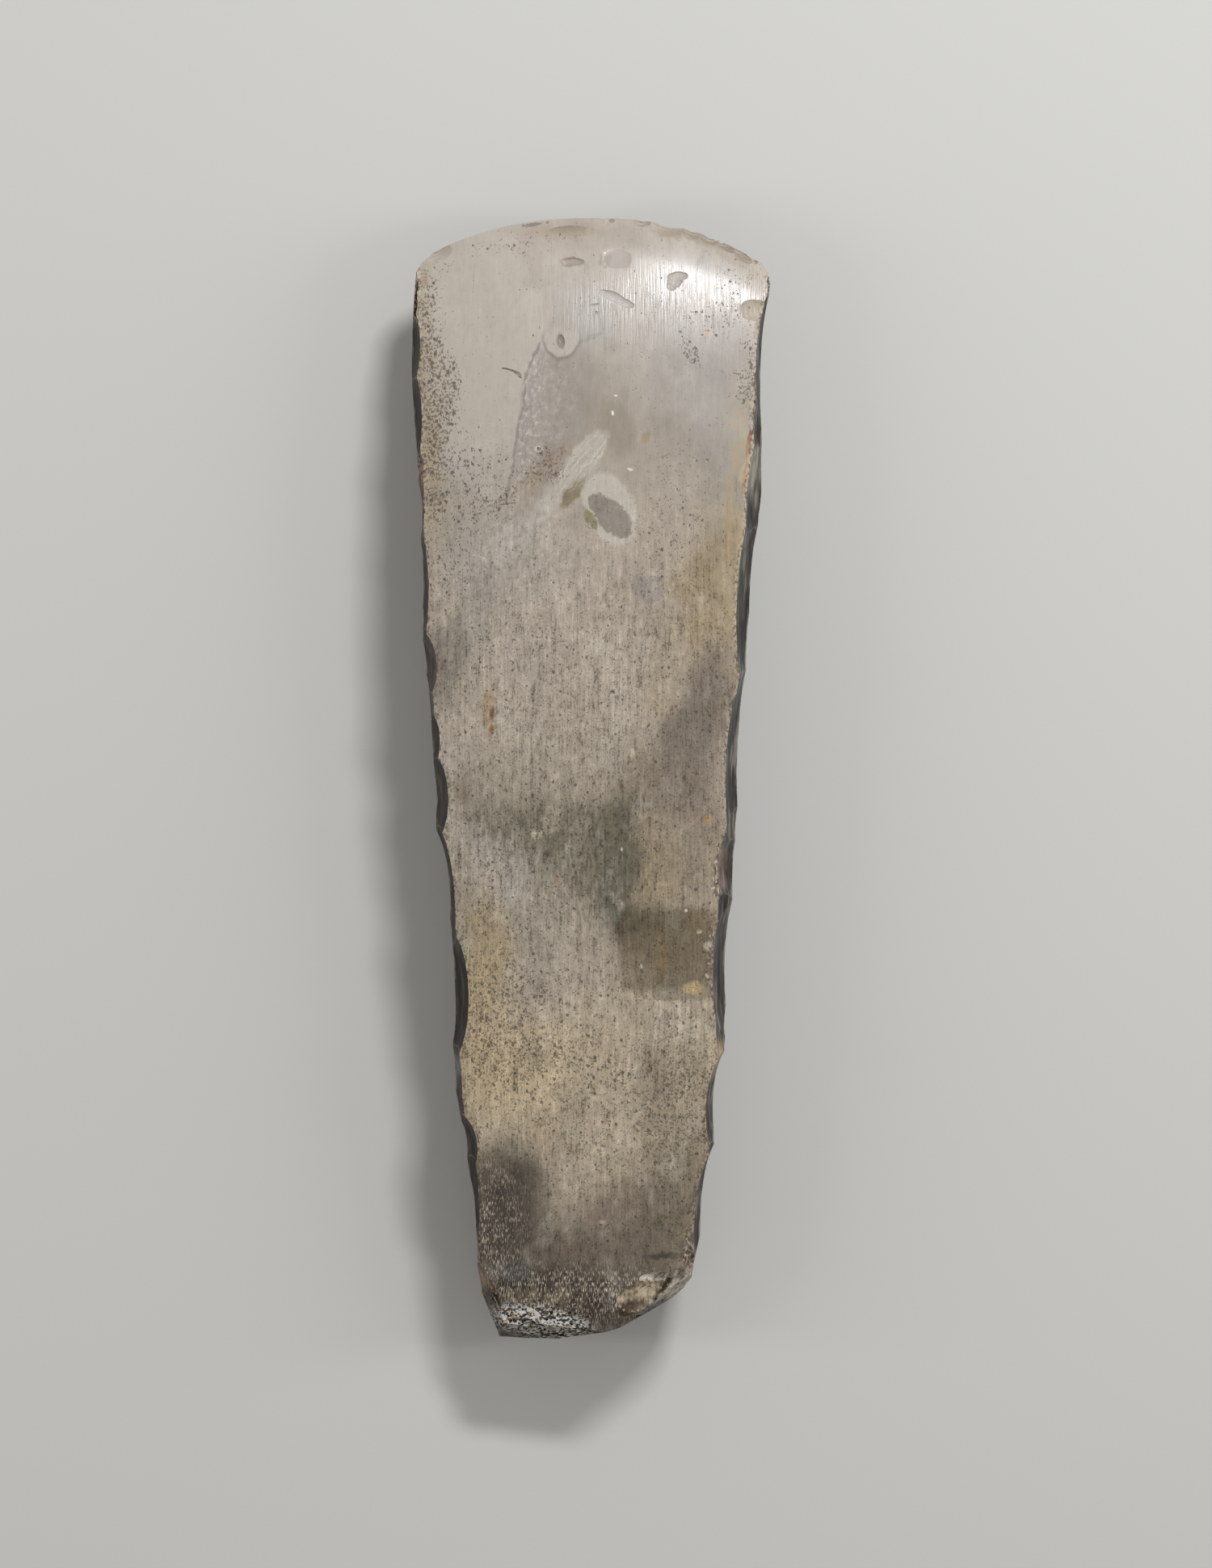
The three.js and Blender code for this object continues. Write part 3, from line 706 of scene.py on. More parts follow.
# Sharper bodies in the stone, and at the butt a line of painted shadow and a patch
# of painted sheen, laid over the clouds in this order: place, half sizes, turn,
# softness, strength and colour; a True marks a box
bodies = (
    (-23.5, 93.7, 13.7, 34.2, 6, 0.1, 0.5, (178, 168, 157)),
    (-7.4, 81.9, 6.8, 17.6, -14, 0.25, 0.6, (144, 134, 125)),
    (-1.7, 102.8, 6.1, 7.2, 20, 0.4, 0.45, (160, 157, 152)),
    (6, 77.1, 3.6, 6.1, 14, 0.35, 0.5, (130, 122, 104)),
    (-10.2, 68.5, 7.2, 2.5, 50, 0.5, 0.35, (138, 118, 92)),
    (12.1, 75.5, 0.72, 1.6, -24, 0.6, 0.45, (140, 114, 70)),
    (12.6, 42, 3.4, 2.7, 0, 0.3, 0.6, (136, 129, 122), True),
    (16.5, -37.8, 10.4, 9, 2, 0.45, 0.55, (84, 72, 50), True),
    (20.5, -45.7, 7.2, 3.2, 4, 0.3, 0.5, (104, 94, 78), True),
    (25.1, -31.8, 4, 3.2, 0, 0.4, 0.4, (112, 94, 62)),
    (15.3, -39.2, 1.6, 6.1, 0, 0.4, 0.45, (114, 95, 62)),
    (-1.5, 70.3, 7.8, 3.1, 53, 0.12, 0.75, (180, 171, 158)),
    (-9, 61.3, 5, 1.8, 62, 0.5, 0.6, (178, 170, 158)),
    (-14.1, 55.6, 7.2, 2.5, 40, 0.7, 0.4, (176, 170, 162)),
    (4, 59.9, 5.6, 8.3, 26, 0.12, 0.85, (180, 171, 159)),
    (-4, 63.1, 1.3, 3.8, -36, 0.3, 0.85, (118, 106, 76)),
    (-0.1, 57.2, 0.81, 3.1, 30, 0.3, 0.85, (124, 112, 78)),
    (4.8, 57.5, 3.2, 5.4, 42, 0.08, 0.9, (130, 120, 109)),
    (1.5, 60.9, 2.2, 2.3, 10, 0.1, 0.85, (130, 120, 109)),
    (5.5, -26.9, 2.7, 0.9, -48, 0.3, 0.6, (158, 149, 136)),
    (1.9, -23.5, 1.3, 1.3, 0, 0.3, 0.35, (140, 134, 122)),
    (-8.8, -9.1, 1.8, 4.3, -20, 0.4, 0.5, (164, 150, 132)),
    (-5.7, 122, 8.3, 1.8, 2, 0.6, 0.5, (148, 131, 110)),
    (7.8, 120.8, 4.7, 2.2, -12, 0.6, 0.35, (150, 138, 124)),
    (17.4, 121.8, 3.6, 1.6, -10, 0.3, 0.6, (138, 123, 102)),
    (24.5, 120.3, 5.4, 1.1, -20, 0.4, 0.55, (134, 119, 97)),
    (31.2, 116.4, 4, 1.6, -30, 0.4, 0.5, (152, 136, 120)),
    (3.2, 115.1, 1.3, 1.6, 0, 0.4, 0.6, (132, 113, 96)),
    (-4.2, 114.9, 2.7, 1.1, -3, 0.3, 0.8, (142, 127, 112)),
    (-12.8, 110.1, 4, 1.4, 0, 0.4, 0.3, (156, 147, 137)),
    (5.7, 106.2, 3.6, 0.9, -22, 0.4, 0.5, (200, 200, 200)),
    (-1.7, -85.8, 5.4, 12.6, -40, 0.9, 0.4, (200, 184, 162)),
    (-16.4, -95.9, 7.9, 11.2, 0, 0.9, 0.5, (60, 52, 44)),
    (-13.7, -115.3, 10.1, 2.9, -4, 0.5, 0.6, (52, 43, 35)),
    (22.6, 10.5, 6.5, 16.6, -20, 0.25, 0.3, (112, 100, 89)),
    (-14.2, -113.7, 7.2, 3.1, -8, 0.5, 0.85, (42, 33, 27)),
    # Slate-grey stone with a painted soft sheen on the left of the butt
    (-17.1, -109.5, 3.6, 2.2, 0, 0.5, 0.8, (78, 76, 75)),
    # A dark line of painted shadow under a notch of the butt
    (16.4, -105.9, 4.3, 0.72, 2, 0.6, 0.85, (58, 50, 42)),
    (31.5, 52.8, 1.8, 8.3, 4, 0.6, 0.45, (150, 124, 88)),
    (31.4, 17.1, 0.9, 4.7, 4, 0.5, 0.7, (112, 97, 90)),
)
for x, y, half_x, half_y, turn, soft, strength, look, *box in bodies:
    cover = spot(ragged, x, y, half_x, half_y, turn, soft, *box) * strength
    tint = mix(cover * is_front, tint, colour(*look))

# Thin joints, cracks and stained lines: both ends, width, strength and colour
marks = (
    (-11, 95.1, -13.8, 86.8, 2.7, 0.4, (138, 130, 124)),
    (-13.8, 87.5, -16.3, 64.9, 2.7, 0.4, (138, 130, 124)),
    (-11.2, 96.6, -14, 90.4, 0.54, 0.6, (118, 110, 104)),
    (-14, 90.4, -15.6, 79.3, 0.54, 0.6, (118, 110, 104)),
    (-15.6, 79.3, -18.8, 61, 0.63, 0.5, (118, 110, 104)),
    (-19.9, 60.8, -16.3, 60.6, 0.32, 0.7, (104, 94, 86)),
    (-19.7, 90.8, -17, 90.3, 0.4, 0.8, (84, 68, 50)),
    (-17, 90.3, -15.3, 88.8, 0.47, 0.8, (84, 68, 50)),
    (-2.7, 96.6, 2.6, 98.9, 0.9, 0.4, (136, 130, 126)),
    (35.5, 77.6, 33.7, 63.9, 1.08, 0.85, (130, 72, 34)),
    (35.5, 72.2, 33, 65.7, 1.8, 0.5, (190, 176, 150)),
)
for x1, y1, x2, y2, width, strength, look in marks:
    cover = line(edged, x1, y1, x2, y2, width) * strength
    tint = mix(cover * is_front, tint, colour(*look))

# The chalky knob with its dark rim and core; its top fades into the pale stone
knob_top, knob_full = 102.5, 98
below_top = ramp(along_blade, knob_top, knob_full)
knob = spot(edged, -6.5, 98.4, 3.96, 5.04, 0, 0.08) * below_top
rim = spot(edged, -6.5, 97.5, 4.23, 4.86, 0, 0.1) * below_top
tint = mix(rim * is_front * 0.75, tint, colour(124, 115, 108))
tint = mix(knob * is_front * 0.85, tint, colour(178, 168, 157))
tint = mix(spot(place, -6.7, 96.9, 0.81, 1.62, 8, 0.5) * is_front * 0.8, tint,
           colour(92, 82, 72))

# Rust and small spots, given as the bodies are
spots = (
    (-22.5, 15.3, 1.4, 5, 0, 0.5, 0.5, (146, 118, 76)),
    (-21.8, 14.4, 0.54, 1.6, 0, 0.5, 0.85, (94, 60, 30)),
    (-22, 11, 0.54, 0.9, 0, 0.5, 0.8, (112, 74, 38)),
    (9, 5.7, 0.9, 1.1, 0, 0.6, 0.6, (190, 172, 142)),
    (-11.8, -12.3, 1.1, 0.9, 0, 0.6, 0.75, (202, 186, 162)),
    (25.8, -8.8, 0.72, 0.9, 0, 0.6, 0.8, (172, 130, 74)),
    (22.6, -46.3, 2.2, 1.4, 0, 0.4, 0.7, (182, 160, 116)),
    (25.7, -37, 0.9, 0.9, 0, 0.4, 0.6, (198, 186, 164)),
    (24, -33.7, 0.54, 0.36, 0, 0.5, 0.6, (196, 180, 150)),
    (21, -28.9, 0.36, 0.29, 0, 0.5, 0.7, (214, 206, 192)),
    (6.9, -15.7, 0.29, 0.43, 0, 0.5, 0.7, (214, 206, 194)),
    (11.2, -41.6, 0.36, 0.36, 0, 0.5, 0.6, (206, 198, 184)),
    (5.5, 84.6, 0.36, 0.22, 0, 0.5, 0.8, (222, 210, 190)),
    (5.1, 80.7, 0.36, 0.45, 0, 0.4, 0.9, (226, 218, 204)),
    (8.7, 68.3, 0.45, 0.36, 0, 0.4, 0.7, (216, 206, 190)),
    (-7.4, -22.1, 0.36, 1.4, 0, 0.5, 0.6, (150, 104, 62)),
    (25.4, 98.8, 0.63, 0.63, 0, 0.5, 0.8, (186, 160, 130)),
    (-11.5, 72.8, 0.9, 0.72, 0, 0.3, 0.7, (204, 196, 184)),
    (-11.5, 72.8, 0.36, 0.36, 0, 0.4, 0.9, (46, 40, 34)),
    (2.6, -98.4, 0.63, 0.54, 0, 0.7, 0.6, (196, 168, 136)),
    (-6.9, -104, 0.9, 0.9, 0, 0.8, 0.4, (150, 122, 90)),
    (4.6, 19, 0.45, 0.45, 0, 0.4, 0.8, (60, 54, 48)),
    (21.2, -101, 0.72, 0.29, 0, 0.5, 0.7, (196, 164, 118)),
    (-37.8, 110.2, 0.45, 1.1, 0, 0.5, 0.7, (168, 116, 72)),
)
for x, y, half_x, half_y, turn, soft, strength, look in spots:
    cover = spot(edged, x, y, half_x, half_y, turn, soft) * strength
    tint = mix(cover * is_front, tint, colour(*look))

# The grainy rust line, the pale fringe of the joint, mottling and the veined leaf
rust = line(edged, -23.4, 58.5, -5.6, 72.8, 2.16)
grain = ramp(noise(place, 0.7, 0.8, 4, 3), 0.48, 0.62)
tint = mix(rust * grain * is_front * 0.6, tint, colour(118, 86, 54))
fringe = line(ragged, -11.7, 93.7, -14.9, 66.7, 4.68)
grain = ramp(noise(place, 0.7, 1.1, 30, 3), 0.52, 0.64)
tint = mix(fringe * grain * is_front * 0.6, tint, colour(190, 182, 172))
mottled = face_mark("mottled")
mottle = noise(ragged, 1.1, 1.7, 36, 4)
tint = mix(mottled * ramp(mottle, 0.54, 0.66) * 0.22, tint, colour(196, 189, 180))
tint = mix(mottled * ramp(mottle, 0.47, 0.36) * 0.4, tint, colour(128, 118, 112))
leaf_x, leaf_y, leaf_turn = -2, 69.5, 53
leaf = spot(ragged, leaf_x, leaf_y, 8.29, 3.24, leaf_turn, 0.2) * is_front
veins = root.node("ShaderNodeMapping", {"vector_type": "TEXTURE"}, {
    "Vector": ragged, "Location": (leaf_x, leaf_y, 0),
    "Rotation": (0, 0, math.radians(leaf_turn))})
veins = noise(veins, 7, 0.55, 35, 3)
tint = mix(leaf * ramp(veins, 0.5, 0.6) * 0.4, tint, colour(146, 136, 122))
tint = mix(leaf * ramp(veins, 0.45, 0.35) * 0.5, tint, colour(198, 192, 182))

# Smoky olive streaks across the middle
olive = face_mark("olive") * ramp(noise(place, 0.7, 2.6, 39, 4), 0.42, 0.62)
tint = mix(olive * 0.6, tint, colour(80, 76, 60))

# Lengthwise scratches of the grinding, and mottling in the stone: faint by the edge and
# at full strength from a little above the middle down to the butt
faint_above, full_below = 85, 25
lower = ramp(along_blade, faint_above, full_below)
flat = vector("MULTIPLY", place, (1, 1, 0))
scratches = noise(flat, 0.26, 7, 5, 2) - 0.5
brushed = noise(flat, 0.4, 1.4, 6, 4) - 0.5
speckle = noise(flat, 0.3, 0.42, 38, 2) - 0.5
blotches = noise(edged, 1.5, 2.2, 7, 4) - 0.5
smears = noise(edged, 1.3, 11, 26, 3) - 0.5
streak = scratches * (0.2 + lower * 0.45) + brushed * (0.18 + lower * 0.4)
streak = streak + speckle * (0.2 + lower * 0.6) + blotches * (0.25 + lower * 0.5)
streak = streak + smears * lower * 0.5
lighter, darker = (1.42, 1.42, 1.42), (0.42, 0.4, 0.38)
tint = mix(ramp(streak, 0, 0.36), tint, vector("MULTIPLY", tint, lighter))
tint = mix(ramp(streak, 0, -0.38), tint, vector("MULTIPLY", tint, darker))

# The skin is creamy along the arrises
creamy = face_mark("cream") * ramp(noise(place, 2.5, 6, 34, 3), 0.4, 0.56)
tint = mix(creamy * 0.55, tint, colour(166, 148, 118))

# Pits hold dark dirt; they are scattered points, crowded where the stone is weathered
rows = noise(place, 2.2, 30, 27, 2)
crowds = ramp(noise(place, 1.3, 1.8, 9, 3), 0.4, 0.62)
amount = noise(place, 5, 8, 8, 3) * 0.9 + crowds * 0.6 + rows * lower * 0.5
amount = face_mark("pitting") * amount
pit_place = vector("MULTIPLY_ADD", noise(place, 0.45, 0.6, 28, 2, "Color"),
                   (1.1, 1.1, 1.1), place)


def pits_of(spacing, stretch, largest, shift):
    """1 in scattered round pits; more of their places are filled where amount is high."""
    at = vector("MULTIPLY_ADD", pit_place, (1 / spacing, 1 / spacing / stretch, 0),
                (shift, shift, 0))
    settings = {"voronoi_dimensions": "2D"}
    far = root.node("ShaderNodeTexVoronoi", settings, {"Vector": at, "Scale": 1}, "Distance")
    dice = root.node("ShaderNodeTexVoronoi", settings, {"Vector": at, "Scale": 1}, "Color")
    dice = root.node("ShaderNodeSeparateXYZ", {}, {0: dice}, "X")
    crowding, full_size, soft_rim = 1.2, 0.6, 0.08
    filled = amount * crowding - dice
    radius = filled.maths("MINIMUM", filled, full_size) * (largest / spacing)
    return ramp(far - radius, soft_rim, 0)


fine_pits = pits_of(spacing=0.5, stretch=1.3, largest=0.28, shift=3.7)
big_pits = pits_of(spacing=1.5, stretch=1.4, largest=0.42, shift=8.2)
pitted = fine_pits.maths("MAXIMUM", fine_pits * 0.8, big_pits)
tint = mix(pitted * 0.78, tint, colour(58, 45, 30))

# Pale flecks by the butt, where the ground skin thins over dark stone
flecks = ramp(noise(flat, 0.15, 1.2, 11, 2) + noise(place, 4, 4, 29, 2) * 0.3, 0.7, 0.78)
tint = mix(flecks * face_mark("flecked") * 0.85, tint, colour(212, 197, 176))

# Broken stone: dark and glassy, paler where thin; its pale ridge lines are partly
# wear and partly painted highlight, and its pale ribs and outer rims are painted highlights
scar, chip = face_mark("scar"), face_mark("chip")
trim, crust = face_mark("trim"), face_mark("crust")
broken = face_mark("break")
scar_cloud = face_mark("scar_cloud", "Color")
flake = face_mark("flake")
scar_tint = mix(ramp(noise(place, 3, 6, 12, 4), 0.56, 0.36) * 0.5, scar_cloud,
                colour(22, 20, 18))
ribs = noise(place, 2, 9, 31, 5)
# Pale rib lines are painted highlights, stronger on the right side, which faces the lights
rib_sheen = (ramp(across_blade, -20, 20) * 0.5 + 0.2) * (1 - flake)
scar_tint = mix(ramp(ribs, 0.5, 0.7) * rib_sheen * 0.7, scar_tint, colour(150, 142, 131))
scar_tint = mix(ramp(ribs, 0.5, 0.36) * (1 - flake) * 0.6, scar_tint, colour(18, 17, 16))
# Sides that take crumbs of wear and the painted highlights, but not flakes or breaks
side_wear_and_sheen = 1 - flake - broken * 0.8
# Pale lines on the ridges between scars: partly wear, partly painted highlight
ridge = ramp(face_mark("ridge"), 0.4, 0) * ramp(noise(place, 2, 3, 24, 3), 0.38, 0.54)
scar_tint = mix(ridge * side_wear_and_sheen * 0.15, scar_tint, colour(178, 169, 154))
# A pale rim of painted highlight along each side's outer line
outer = ramp(face_mark("outer"), 0.5, 0.1) * ramp(noise(place, 1.2, 4, 32, 4), 0.46, 0.6)
scar_tint = mix(outer * side_wear_and_sheen * 0.5, scar_tint, colour(170, 163, 152))
trim_tint = mix(ramp(noise(place, 0.6, 0.9, 14, 3), 0.45, 0.6), colour(66, 52, 42),
                colour(182, 168, 148))
scar_tint = mix(trim * 0.6, scar_tint, trim_tint)
stains = noise(place, 0.8, 1.3, 37, 4)
scar_tint = mix(flake * ramp(stains, 0.52, 0.6) * 0.6, scar_tint, colour(70, 55, 42))
scar_tint = mix(flake * ramp(stains, 0.44, 0.36) * 0.5, scar_tint, colour(206, 188, 160))
rubbed = noise(place, 0.5, 1.6, 15, 3)
scar_tint = mix(broken * ramp(rubbed, 0.52, 0.64) * 0.35, scar_tint, colour(190, 172, 146))
scar_tint = mix(broken * ramp(rubbed, 0.46, 0.34) * 0.5, scar_tint, colour(44, 36, 30))
shell = face_mark("shell")
tint = mix((chip - shell) * 0.45, tint, colour(146, 136, 126))
tint = mix(shell * 0.3, tint, colour(176, 160, 140))

# Crumbs of rubbed stone along the arrises, pale and brown
edge_crumbs = noise(place, 0.6, 1.1, 33, 3)
beside = ramp(face_mark("arris"), 1.1, 0.2) * side_wear_and_sheen
scar_tint = mix(beside * ramp(edge_crumbs, 0.5, 0.58) * 0.8, scar_tint, colour(196, 182, 160))
scar_tint = mix(beside * ramp(edge_crumbs, 0.48, 0.42) * 0.8, scar_tint, colour(58, 42, 34))

# Stone crushed to grains along parts of the right arris
crushed = ramp(face_mark("crushed") + noise(place, 1, 1.6, 40, 3), 0.8, 1)
crushed_tint = mix(ramp(noise(place, 0.6, 1.2, 42, 4), 0.48, 0.62), colour(80, 62, 50),
                   colour(188, 172, 156))
tint = mix(crushed * 0.85, tint, crushed_tint)
scar_tint = mix(crushed * ramp(face_mark("arris"), 6, 1.5) * 0.85, scar_tint, crushed_tint)

# A whitish granular crust on the left of the butt
crumbs = noise(place, 0.6, 0.45, 16, 4) + noise(place, 1.8, 1.2, 41, 2) * 0.6 - 0.3
crust_low, crust_full = 10, 11
crusted = spot(ragged, -11.4, -120.9, 11.17, 3.78, -9, 0.3)
crusted = crusted * ramp(height, crust_low, crust_full)
crusted = crusted.maths("MAXIMUM", crusted, crust * 0.25)
crust_tint = mix(ramp(crumbs, 0.42, 0.57), colour(42, 38, 35), colour(208, 202, 194))
crust_tint = mix(ramp(noise(place, 1.2, 1.2, 17, 2), 0.58, 0.66) * 0.5, crust_tint,
                 colour(176, 142, 98))
tint = mix(crusted, tint, crust_tint)
scar_tint = mix(crusted, scar_tint, crust_tint)

# The ground skin is rubbed and grainy along the arrises
butt_zone_end, margin_start = -112, -102
off_butt = ramp(along_blade, butt_zone_end, margin_start) * is_front
margin = ramp(face_mark("margin"), 1.5, 0) * off_butt
margin_grain = noise(place, 0.5, 0.9, 18, 3)
tint = mix(margin * ramp(margin_grain, 0.52, 0.58) * 0.7, tint, colour(70, 52, 38))
tint = mix(margin * face_mark("cream") * ramp(margin_grain, 0.5, 0.42) * 0.4, tint,
           colour(198, 182, 156))

# Relief too fine to cut: scratches, pits, crumbs, and ripples round each blow
blow = face_mark("blow", "Vector")
far = vector("LENGTH", blow, output="Value")
ripple_rate, ripple_sway, flint_ior = 46, 5, 1.54
waves = far * ripple_rate + noise(place, 4, 4, 19, 2) * ripple_sway
ripples = waves.maths("SINE", waves) * (scar * 0.02 + shell * 0.05)
stroked = face_mark("stroked")
grained = scratches * (stroked * 0.055 + 0.012) + brushed * 0.005 - pitted * 0.05
relief = ripples + grained * (1 - scar) * (1 - chip * 0.7) + crusted * crumbs * 0.18
relief = relief + (noise(place, 0.5, 0.7, 20, 3) - 0.5) * 0.004
normal = root.node("ShaderNodeBump", {}, {"Height": relief, "Distance": mm}, "Normal")
worn = 0.22 + noise(place, 2, 6, 21, 3) * 0.14 + pitted * 0.3 + chip * 0.2 + crusted * 0.4
worn = worn + scratches * (stroked * 0.5 + 0.1) + brushed * 0.08
ground_skin = root.node("ShaderNodeBsdfPrincipled", {}, {
    "Base Color": tint, "Roughness": worn, "IOR": flint_ior, "Normal": normal}, "BSDF")
glassy = 0.26 + noise(place, 3, 3, 22, 2) * 0.15 + crusted * 0.4
broken_skin = root.node("ShaderNodeBsdfPrincipled", {}, {
    "Base Color": scar_tint, "Roughness": glassy, "IOR": flint_ior,
    "Specular IOR Level": 0.06, "Normal": normal}, "BSDF")
skin = root.node("ShaderNodeMixShader", {}, {0: scar, 1: ground_skin, 2: broken_skin})
root.node("ShaderNodeOutputMaterial", {}, {"Surface": skin})

# The finished blade. All cutters act on the blank at once; loose splinters are dropped,
# and the stone is centred and kept within the solid model it stands for.
tree = knapping_tree(list(cutter_sets))
pit_form = round_form("pit_form", ["crust", "scar"], rings=3, spokes=8, strike=0.5,
                      ripple=0, waves=1, wobble=0.05)
knapping = blank.modifiers.new("Knapping", "NODES")
knapping.node_group = tree
given = {end.name: end.identifier for end in tree.interface.items_tree
         if end.in_out == "INPUT"}
for name, (cutters, form) in cutter_sets.items():
    knapping[given[f"{name} points"]] = cutter_points(f"{name}_points", cutters)
    knapping[given[f"{name} form"]] = form
for name, value in (("Pit form", pit_form), ("Pits per area", 0.55), ("Least pit", 0.2),
                    ("Largest pit", 0.6), ("Seed", 5), ("Material", stone)):
    knapping[given[name]] = value
bpy.context.scene.collection.objects.link(blank)
graph = bpy.context.evaluated_depsgraph_get()
skin_mesh = bpy.data.meshes.new_from_object(blank.evaluated_get(graph),
                                            preserve_all_data_layers=True, depsgraph=graph)
blank.modifiers.remove(knapping)
bpy.data.objects.remove(blank)

splinter_points = 1000
solid = bmesh.new()
solid.from_mesh(skin_mesh)
seen = set()
for first in solid.verts:
    if first in seen:
        continue
    island, waiting = [first], [first]
    seen.add(first)
    while waiting:
        for edge in waiting.pop().link_edges:
            for other in edge.verts:
                if other not in seen:
                    seen.add(other)
                    island.append(other)
                    waiting.append(other)
    if len(island) < splinter_points:
        bmesh.ops.delete(solid, geom=island, context="VERTS")
        seen = {vert for vert in seen if vert.is_valid}
solid.verts.index_update()
solid.to_mesh(skin_mesh)

points = np.empty(len(skin_mesh.vertices) * 3)
skin_mesh.vertices.foreach_get("co", points)
points = points.reshape(-1, 3)
low, high = points.min(0), points.max(0)
fit = np.minimum(1, (cad_high - cad_low) / (high - low)) * (1 - 1e-5)
points = (points - (low + high) / 2) * fit + (cad_low + cad_high) / 2
skin_mesh.vertices.foreach_set("co", (points * mm).ravel())
skin_mesh.polygons.foreach_set("use_smooth", np.ones(len(skin_mesh.polygons), dtype=bool))
sharp_angle, ridge_angle = math.radians(20), math.radians(11)
skin_mesh.set_sharp_from_angle(angle=sharp_angle)


def each(elements, key, kind=float):
    """One number of every element of the skin, such as each face's mark."""
    values = np.empty(len(elements), dtype=kind)
    elements.foreach_get(key, values)
    return values


def gaps_to(chosen):
    """How far each point of the skin is from the nearest of the chosen points."""
    tree = KDTree(len(chosen))
    for index in chosen:
        tree.insert(points[index], int(index))
    tree.balance()
    return np.array([tree.find(point)[2] for point in points])


# The ground skin is rubbed next to broken stone, and the ridges between scars carry
# pale lines, partly wear and partly painted highlight
on_scar, on_flake = (each(skin_mesh.attributes[mark].data, "value") for mark in ("scar", "flake"))
corner_counts = each(skin_mesh.polygons, "loop_total", int)
corner_points = each(skin_mesh.loops, "vertex_index", int)
margins = gaps_to(np.unique(corner_points[np.repeat(on_scar - on_flake, corner_counts) > 0.5]))
arrises = gaps_to(np.unique(corner_points[np.repeat(on_scar, corner_counts) < 0.5]))
creased = {corner.index for edge in solid.edges for corner in edge.verts
           if edge.calc_face_angle_signed(0) > ridge_angle}
solid.free()
ridges = gaps_to(np.array(sorted(creased)))

# The outer line of each side, as far as the picture sees it from the front, where a
# rim of painted highlight is laid
row_places, half_row = np.arange(-125, 126), 1.5
painted_rim_gaps = np.empty(len(points))
for side in (-1, 1):
    reach = [np.max(side * points[np.abs(points[:, 1] - row) < half_row, 0])
             for row in row_places]
    gap = np.interp(points[:, 1], row_places, reach) - side * points[:, 0]
    painted_rim_gaps = np.where(side * points[:, 0] > 0, gap, painted_rim_gaps)

